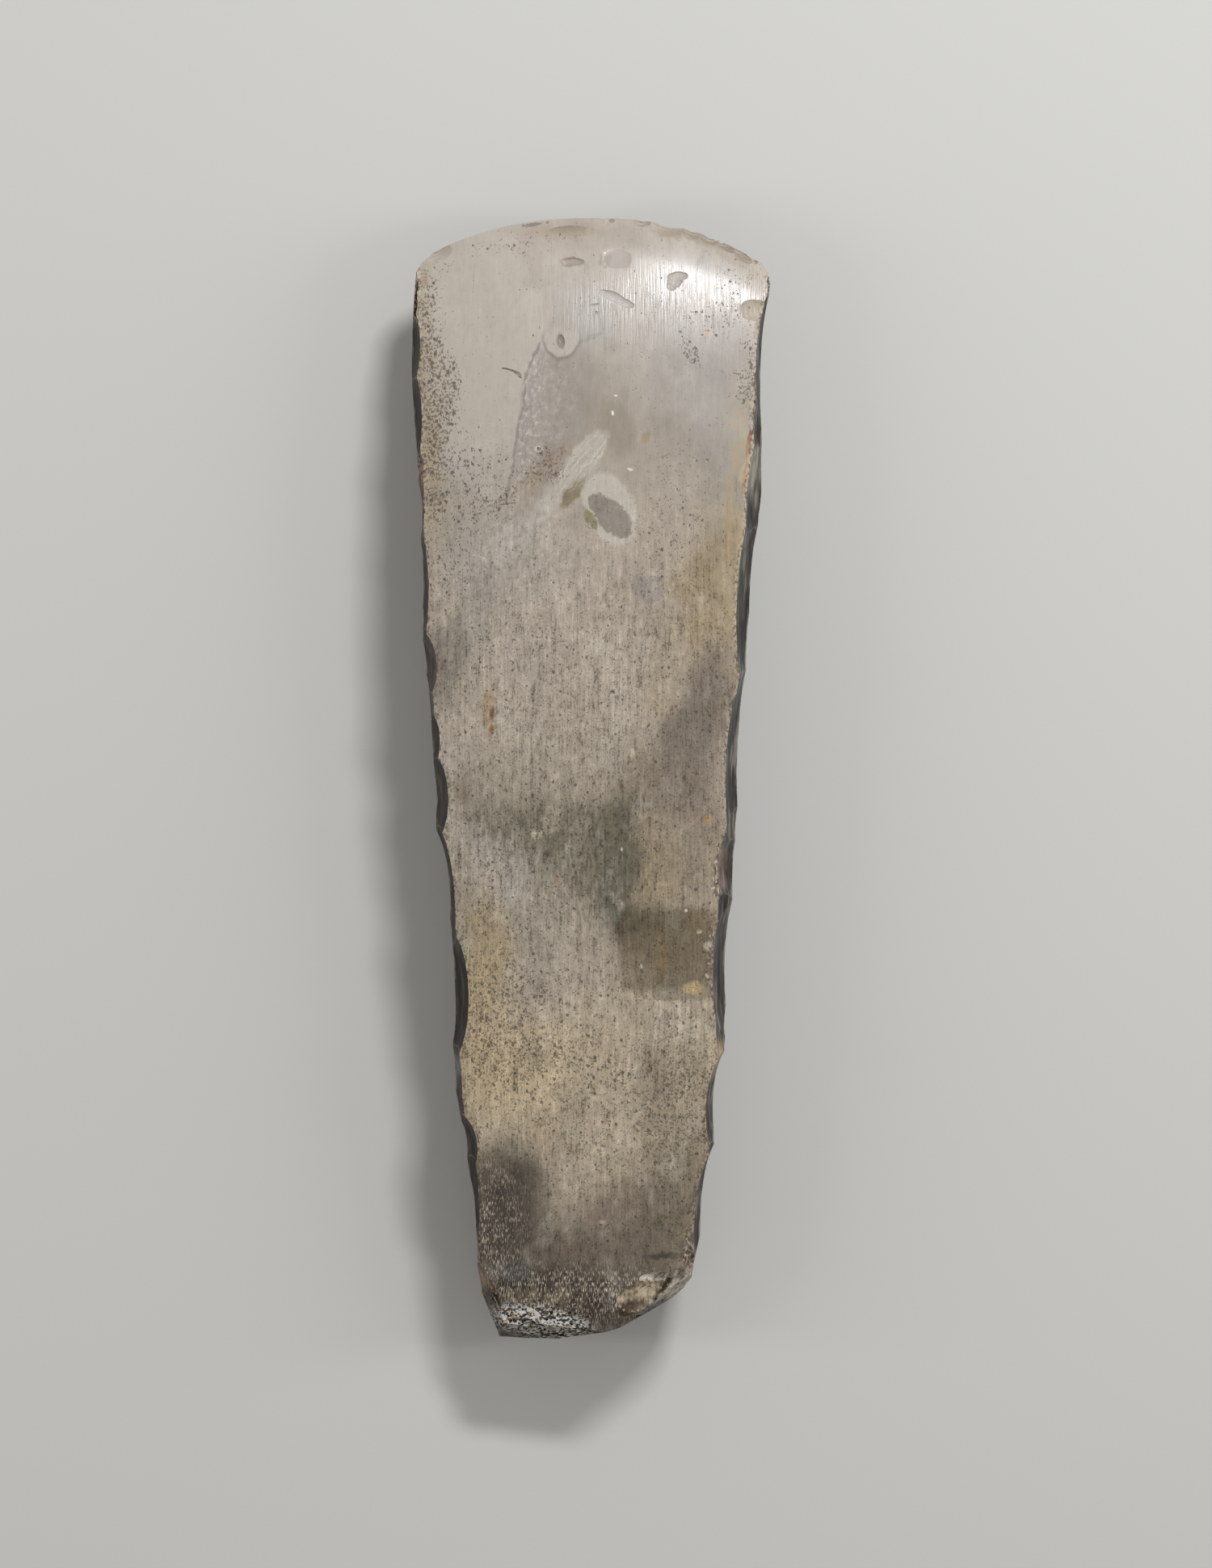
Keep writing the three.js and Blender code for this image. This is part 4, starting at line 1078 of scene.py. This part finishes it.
# Clouds of the front face: place, half sizes, turn, softness, strength and colour
front_clouds = (
    (0.6, 104.6, 54, 41.4, 0, 0.5, 0.9, (168, 157, 146)),
    (-22.6, 97.3, 19.8, 30.6, 0, 0.5, 0.5, (174, 163, 152)),
    (-35.7, 79.4, 4.3, 23.4, 3, 0.4, 0.7, (150, 133, 108)),
    (0.7, 31, 54, 34.2, 0, 0.5, 0.9, (164, 151, 135)),
    (0.7, -27.8, 54, 27, 0, 0.5, 0.9, (152, 139, 121)),
    (0.7, -68.9, 54, 21.6, 0, 0.5, 0.9, (176, 160, 136)),
    (0.6, -108.5, 54, 21.6, 0, 0.5, 0.9, (100, 88, 74)),
    (24.8, 86.5, 12.6, 18, 0, 0.7, 0.8, (147, 139, 132)),
    (-5.6, 75.6, 8.1, 14.4, 0, 0.7, 0.4, (148, 138, 129)),
    (1.9, 82.8, 6.1, 9, 0, 0.7, 0.6, (134, 123, 110)),
    (12.3, 75.7, 10.1, 12.6, 0, 0.7, 0.5, (148, 135, 120)),
    (-17.2, 65.8, 7.2, 7.2, 0, 0.7, 0.5, (134, 122, 110)),
    (-23.4, 48.8, 10.8, 9, -20, 0.6, 0.5, (150, 141, 135)),
    (-26.1, 34.6, 4, 9.9, -18, 0.5, 0.5, (134, 126, 119)),
    (-32.4, 25.7, 5.4, 7.2, 0, 0.6, 0.6, (112, 103, 92)),
    (-7.4, 47, 16.2, 14.4, 0, 0.8, 0.4, (170, 159, 146)),
    (11.3, 38.1, 9.9, 9, 0, 0.7, 0.4, (146, 133, 118)),
    (26.9, 39, 6.5, 15.3, 4, 0.6, 0.8, (140, 122, 92)),
    (21.2, 29.2, 7.9, 9, 10, 0.7, 0.4, (146, 130, 106)),
    (14.9, 17.6, 3.2, 6.5, 0, 0.6, 0.5, (152, 133, 106)),
    (-15.9, 23.9, 7.2, 7.2, 0, 0.8, 0.4, (166, 155, 142)),
    (23.3, 10.5, 7.2, 19.8, -16, 0.3, 0.9, (116, 104, 91)),
    (14, -2, 11.9, 9, 0, 0.7, 0.7, (118, 105, 88)),
    (-27.9, -4.6, 3.6, 4, 0, 0.7, 0.5, (104, 84, 62)),
    (30.1, -2, 5.4, 10.8, 0, 0.7, 0.5, (132, 120, 106)),
    (-5.6, 2.5, 10.8, 9, 0, 0.8, 0.5, (156, 144, 128)),
    (-21.6, -20.3, 8.3, 8.3, 20, 0.6, 0.9, (172, 161, 149)),
    (-16.3, -31.4, 9, 12.6, 10, 0.7, 0.5, (156, 146, 134)),
    (-16.3, -11.8, 9.7, 6.1, 0, 0.6, 0.65, (114, 107, 91)),
    (-1.7, -15, 10.8, 7.9, 0, 0.6, 0.65, (102, 97, 82)),
    (6.5, -17.5, 6.1, 11.5, -8, 0.5, 0.85, (94, 89, 72)),
    (3.3, -25.1, 7.2, 5.4, 0, 0.6, 0.4, (104, 99, 85)),
    (10.8, -29.2, 6.8, 4.7, -20, 0.5, 0.9, (76, 71, 56)),
    (15.8, -19.8, 4.3, 9.4, 0, 0.5, 0.6, (144, 126, 98)),
    (23.3, -17.1, 6.5, 10.1, 0, 0.6, 0.6, (126, 113, 96)),
    (21.2, -38.6, 11.9, 9, 0, 0.35, 0.55, (98, 84, 64)),
    (-4.7, -42.1, 10.8, 12.6, 0, 0.8, 0.6, (164, 152, 137)),
    (-24.3, -34.1, 6.8, 10.1, 0, 0.6, 0.7, (154, 135, 104)),
    (-24, -52, 8.7, 17.1, 0, 0.6, 0.8, (168, 148, 114)),
    (-10.9, -65.3, 14.4, 10.8, 0, 0.7, 0.7, (192, 172, 140)),
    (-2.7, -76.4, 10.4, 9, 0, 0.8, 0.7, (190, 170, 142)),
    (2.4, -58.2, 10.8, 10.8, 0, 0.8, 0.4, (160, 146, 126)),
    (17.6, -54.6, 8.3, 5.4, 0, 0.7, 0.5, (154, 142, 126)),
    (12.6, -67.1, 5.4, 10.8, 0, 0.7, 0.6, (124, 112, 95)),
    (23, -69, 6.1, 10.8, 0, 0.7, 0.5, (132, 120, 102)),
    (19.4, -80.7, 7.9, 7.9, 0, 0.7, 0.6, (126, 113, 94)),
    (-14.5, -60.9, 4.3, 3.6, 0, 0.5, 0.6, (136, 122, 104)),
    (-11, -80.1, 12.6, 3.6, -8, 0.7, 0.3, (146, 132, 112)),
    (-1.7, -86.5, 6.1, 13.7, -40, 0.6, 0.95, (206, 190, 168)),
    (19.4, -93.3, 10.1, 10.8, 0, 0.7, 0.6, (116, 104, 87)),
    (-24.2, -89.1, 6.1, 6.5, 20, 0.7, 0.6, (90, 78, 64)),
    (-21.7, -101.8, 9, 14.4, 10, 0.7, 0.9, (62, 53, 45)),
    (-10.6, -102.2, 9.7, 9, 20, 0.8, 0.65, (86, 75, 63)),
    (1.5, -97.7, 10.8, 7.2, 0, 0.7, 0.5, (122, 108, 92)),
    (-7.4, -114, 19.8, 5.4, 0, 0.6, 0.95, (54, 44, 36)),
    (-5.6, -118.5, 23.4, 4.7, 0, 0.5, 0.9, (46, 36, 29)),
)

# The under face has fewer clouds: smoky at the butt, ochre and pale towards the edge
back_clouds = (
    (0, 70, 60, 60, 0, 0.6, 0.7, (176, 167, 152)),
    (-20, 20, 30, 40, 20, 0.6, 0.6, (170, 152, 118)),
    (18, -20, 26, 50, -10, 0.6, 0.6, (120, 114, 104)),
    (0, -105, 60, 34, 0, 0.6, 0.8, (82, 72, 60)),
    (10, 100, 14, 22, 30, 0.3, 0.5, (140, 134, 126)),
    (-16, -60, 18, 30, 0, 0.5, 0.6, (160, 143, 112)),
)

# Each patch of pits: place, half sizes, turn, softness and amount
pit_patches = (
    (-35.3, 83, 4.7, 25.2, 2, 0.4, 1.5), (-26.1, 65, 11.2, 11.9, 0, 0.5, 0.75),
    (-30.6, 48.9, 7.2, 10.8, 0, 0.6, 0.5), (-16.3, 36.3, 16.2, 16.2, 0, 0.7, 0.3),
    (17.6, 56, 9, 16.2, 0, 0.7, 0.4), (22, 29.2, 7.2, 10.8, 0, 0.6, 0.3),
    (-5.6, -13.5, 21.6, 12.6, 0, 0.7, 0.5), (-23.4, -26.1, 9, 10.8, 0, 0.6, 0.5),
    (-19.9, -52.8, 14.4, 19.8, 0, 0.6, 0.75), (-5.6, -65.3, 23.4, 12.6, 0, 0.7, 0.6),
    (19.4, -69, 9.9, 19.8, 0, 0.6, 0.7), (5.1, -85.1, 21.6, 10.8, 0, 0.7, 0.45),
    (12.2, -29.6, 14.4, 7.2, 0, 0.7, 0.35), (28.4, 103.7, 10.8, 4.3, 0, 0.6, 0.45),
    (-9.1, -26, 10.8, 9, 0, 0.7, 0.4), (-14.5, 14.9, 19.8, 14.4, 0, 0.8, 0.3),
    (-16.4, 119.3, 12.6, 2.3, 12, 0.6, 0.55), (-33.5, 112.9, 4, 2.2, 20, 0.5, 0.6),
    (34.7, 111.1, 3.6, 6.1, 0, 0.6, 0.5), (23.7, 95.5, 2.2, 2.2, 0, 0.5, 1.1),
    (35.9, 92, 1.8, 9, 0, 0.5, 1), (-9.9, 68.8, 5.8, 2.9, 50, 0.6, 0.9),
    (19.4, -92.4, 9, 10.8, 0, 0.6, 0.5),
)

# Zones of the front face, each with its patches, which are given as the pits' are
zones = {
    "mottled": (
        (-9.9, 79.2, 6.5, 17.3, -6, 0.6, 1), (-16.3, 50.6, 16.2, 10.8, 20, 0.6, 1),
    ),
    "olive": (
        (1.9, -19.2, 11.2, 11.9, 24, 0.7, 1), (-14.5, -12.7, 10.1, 6.1, 0, 0.7, 1),
    ),
    "flecked": (
        (-25, -98.7, 8.3, 15.1, 8, 0.7, 0.85), (-2.9, -114, 19.8, 6.1, 0, 0.6, 1),
    ),
    "stroked": (
        (17.7, 105, 27, 7.2, 6, 0.6, 1),
    ),
    "crushed": (
        (28.9, -19.7, 2.5, 8.3, -6, 0.4, 0.55), (26.7, -40.4, 1.6, 10.1, 4, 0.5, 0.42),
        (23.8, -108.3, 2, 9, 10, 0.5, 0.6), (25.4, -95.3, 1.4, 6.5, 6, 0.5, 0.5),
        (27.3, -76.6, 1.3, 11.9, 4, 0.5, 0.45),
    ),
    "bare": (
        (-26.2, -103.2, 9.7, 23.4, 0, 0.4, 1), (0.6, -124.9, 54, 9, 0, 0.3, 1),
        (-31.3, -17.2, 7.9, 75.7, 6, 0.3, 0.9), (28.3, -42.2, 7.2, 59.4, -4, 0.4, 0.5),
    ),
}

# Patches of the broken stone on the left arris, the right arris and the butt, given as
# the clouds are; on the butt's tan facet they hold a line of painted highlight and a
# line of painted shade
scar_patches = (
    (-37.1, 113.5, 7.2, 2.9, 0, 0.2, 1, (182, 172, 158)),
    (-38.8, 95.3, 4.7, 7.9, 0, 0.1, 1, (36, 34, 32)),
    (-38.7, 79.1, 4.7, 7.9, 0, 0.1, 1, (36, 33, 30)),
    (-38.7, 66.3, 4.7, 3.2, 0, 0.5, 0.8, (140, 106, 86)),
    (-37.8, 57.9, 4.7, 4.7, 0, 0.2, 1, (53, 49, 45)),
    (-37.4, 45, 4.7, 8.3, 0, 0.2, 1, (68, 63, 59)),
    (-36.3, 32.3, 4.7, 2.9, 0, 0.1, 1, (34, 31, 29)),
    (-35.6, 24.5, 4.7, 6.5, 0, 0.1, 1, (84, 78, 75)),
    (-35.2, 8.4, 4.7, 4.3, 0, 0.1, 1, (42, 37, 35)),
    (-32.7, -4.7, 4.7, 8.7, 0, 0.1, 1, (24, 24, 25)),
    (-33.3, -17.7, 4.7, 4, 0, 0.2, 1, (63, 50, 42)),
    (-31.9, -28.8, 4.7, 7.2, 0, 0.2, 1, (71, 69, 68)),
    (-28.8, -48.1, 4.7, 11.5, 0, 0.1, 1, (34, 31, 28)),
    (-29.9, -63.7, 4.7, 2.2, 0, 0.5, 0.6, (150, 148, 144)),
    (-28.2, -71.7, 4.7, 5, 0, 0.2, 1, (45, 39, 35)),
    (-26.4, -81.8, 4.7, 5, 0, 0.1, 1, (33, 26, 22)),
    (-25.3, -96, 4.7, 9, 0, 0.3, 1, (35, 29, 24)),
    (-23.2, -115, 4.3, 10.1, 12, 0.3, 1, (62, 43, 33)),
    (-23.4, -112.3, 1.8, 4, 12, 0.5, 0.7, (152, 124, 96)),
    (37, 86.6, 4.3, 7.9, 0, 0.2, 1, (68, 66, 65)),
    (37.3, 67.2, 4.3, 6.5, 0, 0.2, 1, (146, 138, 126)),
    (33.7, 56.1, 2.9, 7.9, 0, 0.2, 1, (62, 62, 60)),
    (34.6, 34.6, 4.7, 8.3, 0, 0.1, 1, (48, 47, 43)),
    (34.6, 21.8, 4.7, 6.8, 0, 0.1, 1, (33, 34, 35)),
    (33, 8.9, 4.7, 5.8, 0, 0.1, 1, (36, 33, 31)),
    (31.5, -0.7, 4.7, 5.8, 0, 0.2, 1, (66, 65, 63)),
    (29.2, -19.8, 4.7, 5, 0, 0.2, 1, (116, 98, 88)),
    (29.2, -31.5, 4.7, 7.2, 0, 0.1, 1, (32, 29, 27)),
    (28.7, -40.8, 4.7, 7.6, 0, 0.2, 1, (63, 63, 60)),
    (27.5, -53.3, 4.7, 5, 0, 0.2, 1, (66, 62, 58)),
    (28.7, -62.4, 4.7, 4.7, 0, 0.3, 1, (172, 148, 118)),
    (27.5, -73.4, 4.7, 6.1, 0, 0.2, 1, (45, 37, 33)),
    (25.4, -92.4, 4.7, 13.7, 0, 0.3, 1, (52, 42, 36)),
    (1.5, -121.3, 23.4, 4.3, 0, 0.4, 1, (55, 45, 37)),
    (-21.6, -118.1, 2.2, 5, 14, 0.3, 0.9, (26, 21, 18)),
    (6.9, -114, 2.5, 1.8, 20, 0.5, 0.7, (120, 98, 74)),
    (13.4, -112.6, 8.3, 4.3, 28, 0.15, 1, (182, 165, 142)),
    (19.5, -111.5, 2.9, 5, -30, 0.3, 1, (198, 186, 168)),
    # A thin line of painted highlight on the upper edge of the tan facet
    (14.4, -110.2, 5, 0.72, 4, 0.4, 0.95, (226, 220, 210)),
    # A dark line of painted shade in the crease along the facet's ridge
    (16.4, -111.9, 0.72, 3.6, -32, 0.4, 0.95, (36, 29, 24)),
    (8, -117.5, 4.3, 1.6, 22, 0.4, 0.85, (62, 49, 39)),
)


def patch_cover(spread, x, y, half_x, half_y, turn, soft):
    """1 within an oval patch, 0 away from it, at every point of the skin."""
    angle = math.radians(turn)
    east, north = spread[:, 0] - x, spread[:, 1] - y
    far = np.hypot((east * math.cos(angle) + north * math.sin(angle)) / half_x,
                   (north * math.cos(angle) - east * math.sin(angle)) / half_y)
    share = np.clip((1 + soft - far) / (2 * soft), 0, 1)
    return (share**2 * (3 - 2 * share))[:, None]


# Every patch drifts a few millimetres from its oval; the seed keeps each run the same
drift_size, drift_reach, drift_seed = 16, 5, 73
seed_set(drift_seed)
drift = np.array([turbulence_vector(Vector(point) / drift_size, 3, False) * drift_reach
                  for point in points])
on_front = points[:, 2:] > middle_height
clouds = np.tile(colour(150, 141, 127), (len(points), 1))
for on_face, patches in ((on_front, front_clouds), (~on_front, back_clouds)):
    for *patch, strength, look in patches:
        cover = patch_cover(points + drift, *patch) * on_face * strength
        clouds += (np.array(colour(*look)) - clouds) * cover

# Pits are few near the edge and more common from 70 mm above the middle downwards
upper_pits, lower_pits, pits_start, pits_fade = 0.12, 0.22, 70, 40
pitting = upper_pits + lower_pits * np.clip((pits_start - points[:, 1:2]) / pits_fade, 0, 1)
for *patch, amount in pit_patches:
    pitting = np.maximum(pitting, patch_cover(points + drift, *patch) * amount * on_front)
covers = {}
for name, patches in zones.items():
    covers[name] = np.zeros((len(points), 1))
    for *patch, amount in patches:
        cover = patch_cover(points + drift / 3, *patch) * on_front
        covers[name] = np.maximum(covers[name], cover * amount)

# The creamy margin fades within 4 mm of the arris, and is widest by the rust line
cream_reach, cream_fade = 4.32, 3.6
rust_margin = patch_cover(points, 32.6, 65, 2.88, 19.81, 2, 0.5) * on_front
cream = np.maximum(np.clip((cream_reach - margins[:, None]) / cream_fade, 0, 1), rust_margin)
covers["cream"] = cream * (1 - covers.pop("bare")) * on_front

# Patches of the scars stay on the front half and fade away from the front arris
patch_reach, patch_fade, patch_depth = 12, 7, 6
near_arris = np.clip((patch_reach - arrises[:, None]) / patch_fade, 0, 1)
near_arris = near_arris * (points[:, 2:] > middle_height - patch_depth)
scar_clouds = np.tile(colour(62, 56, 50), (len(points), 1))
for *patch, strength, look in scar_patches:
    cover = patch_cover(points + drift / 6, *patch) * strength * near_arris
    scar_clouds += (np.array(colour(*look)) - scar_clouds) * cover
for name, values in {"cloud": clouds, "scar_cloud": scar_clouds}.items():
    layer = skin_mesh.attributes.new(name, "FLOAT_COLOR", "POINT")
    layer.data.foreach_set("color", values.ravel())
for name, values in {"pitting": pitting, "margin": margins, "ridge": ridges,
                     "arris": arrises, "outer": painted_rim_gaps, **covers}.items():
    layer = skin_mesh.attributes.new(name, "FLOAT", "POINT")
    layer.data.foreach_set("value", values.ravel())

skin_mesh.name = "flint_blade_stone"
blade = bpy.data.objects.new("flint_blade_stone", skin_mesh)
bpy.context.scene.collection.objects.link(blade)
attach(blade, "root")
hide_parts("flint_blade")


# The table. A smooth board painted a pale matt grey, made as one flat sheet that is far
# wider than the picture shows.
table_width = 6
bpy.ops.mesh.primitive_plane_add(size=table_width)
table = bpy.context.object
table.name = "pale_table"
paint = bpy.data.materials.new("pale_paint")
paint.use_nodes = True
paint.node_tree.nodes.clear()
root = Socket(paint.node_tree)
board = root.node("ShaderNodeBsdfPrincipled", {}, {
    "Base Color": colour(196, 194, 190), "Roughness": 0.9}, "BSDF")
root.node("ShaderNodeOutputMaterial", {}, {"Surface": board})
table.data.materials.append(paint)

# The light. One soft box beyond the cutting edge and a little to the right makes the
# bright band on the edge's slope; two long low boxes draw thin rims on the sides.
world = bpy.data.worlds.new("studio")
bpy.context.scene.world = world
world.use_nodes = True
room = world.node_tree.nodes["Background"]
room.inputs["Color"].default_value = (1, 0.985, 0.96, 1)
room.inputs["Strength"].default_value = 0.35

# Each box: lean beyond the edge and to the right in degrees, distance, size and power
lights = (
    ("key_box", 45, 23, 1.3, 0.32, 0.11, 12.5),
    ("left_box", -8, -62, 1.0, 0.15, 0.7, 2.2),
    ("right_box", 5, 62, 1.0, 0.15, 0.7, 2.6),
)
for name, lean_up, lean_right, distance, width, depth, power in lights:
    way = Vector((math.tan(math.radians(lean_right)), math.tan(math.radians(lean_up)), 1))
    lamp = bpy.data.lights.new(name, "AREA")
    lamp.shape = "RECTANGLE"
    lamp.size, lamp.size_y = width, depth
    lamp.energy = power
    lamp.color = (0.94, 0.97, 1)
    box = bpy.data.objects.new(name, lamp)
    box.location = way.normalized() * distance
    box.rotation_mode = "QUATERNION"
    box.rotation_quaternion = way.to_track_quat("Z", "Y")
    bpy.context.scene.collection.objects.link(box)

# The camera. It looks straight down on the front face from far off, and its picture
# takes in a little more than the blade, as the photograph does.
camera_distance, picture_height, film_width = 1.5, 0.3496, 36
picture_x, picture_y, focus_height = 0.00333, -0.00117, 0.0165
camera_lens = bpy.data.cameras.new("camera")
camera_lens.sensor_fit = "AUTO"
camera_lens.sensor_width = film_width
camera_lens.lens = film_width * camera_distance / picture_height
camera = bpy.data.objects.new("camera", camera_lens)
camera.location = (picture_x, picture_y, focus_height + camera_distance)
bpy.context.scene.collection.objects.link(camera)
bpy.context.scene.camera = camera
bpy.context.scene.view_settings.view_transform = "Standard"
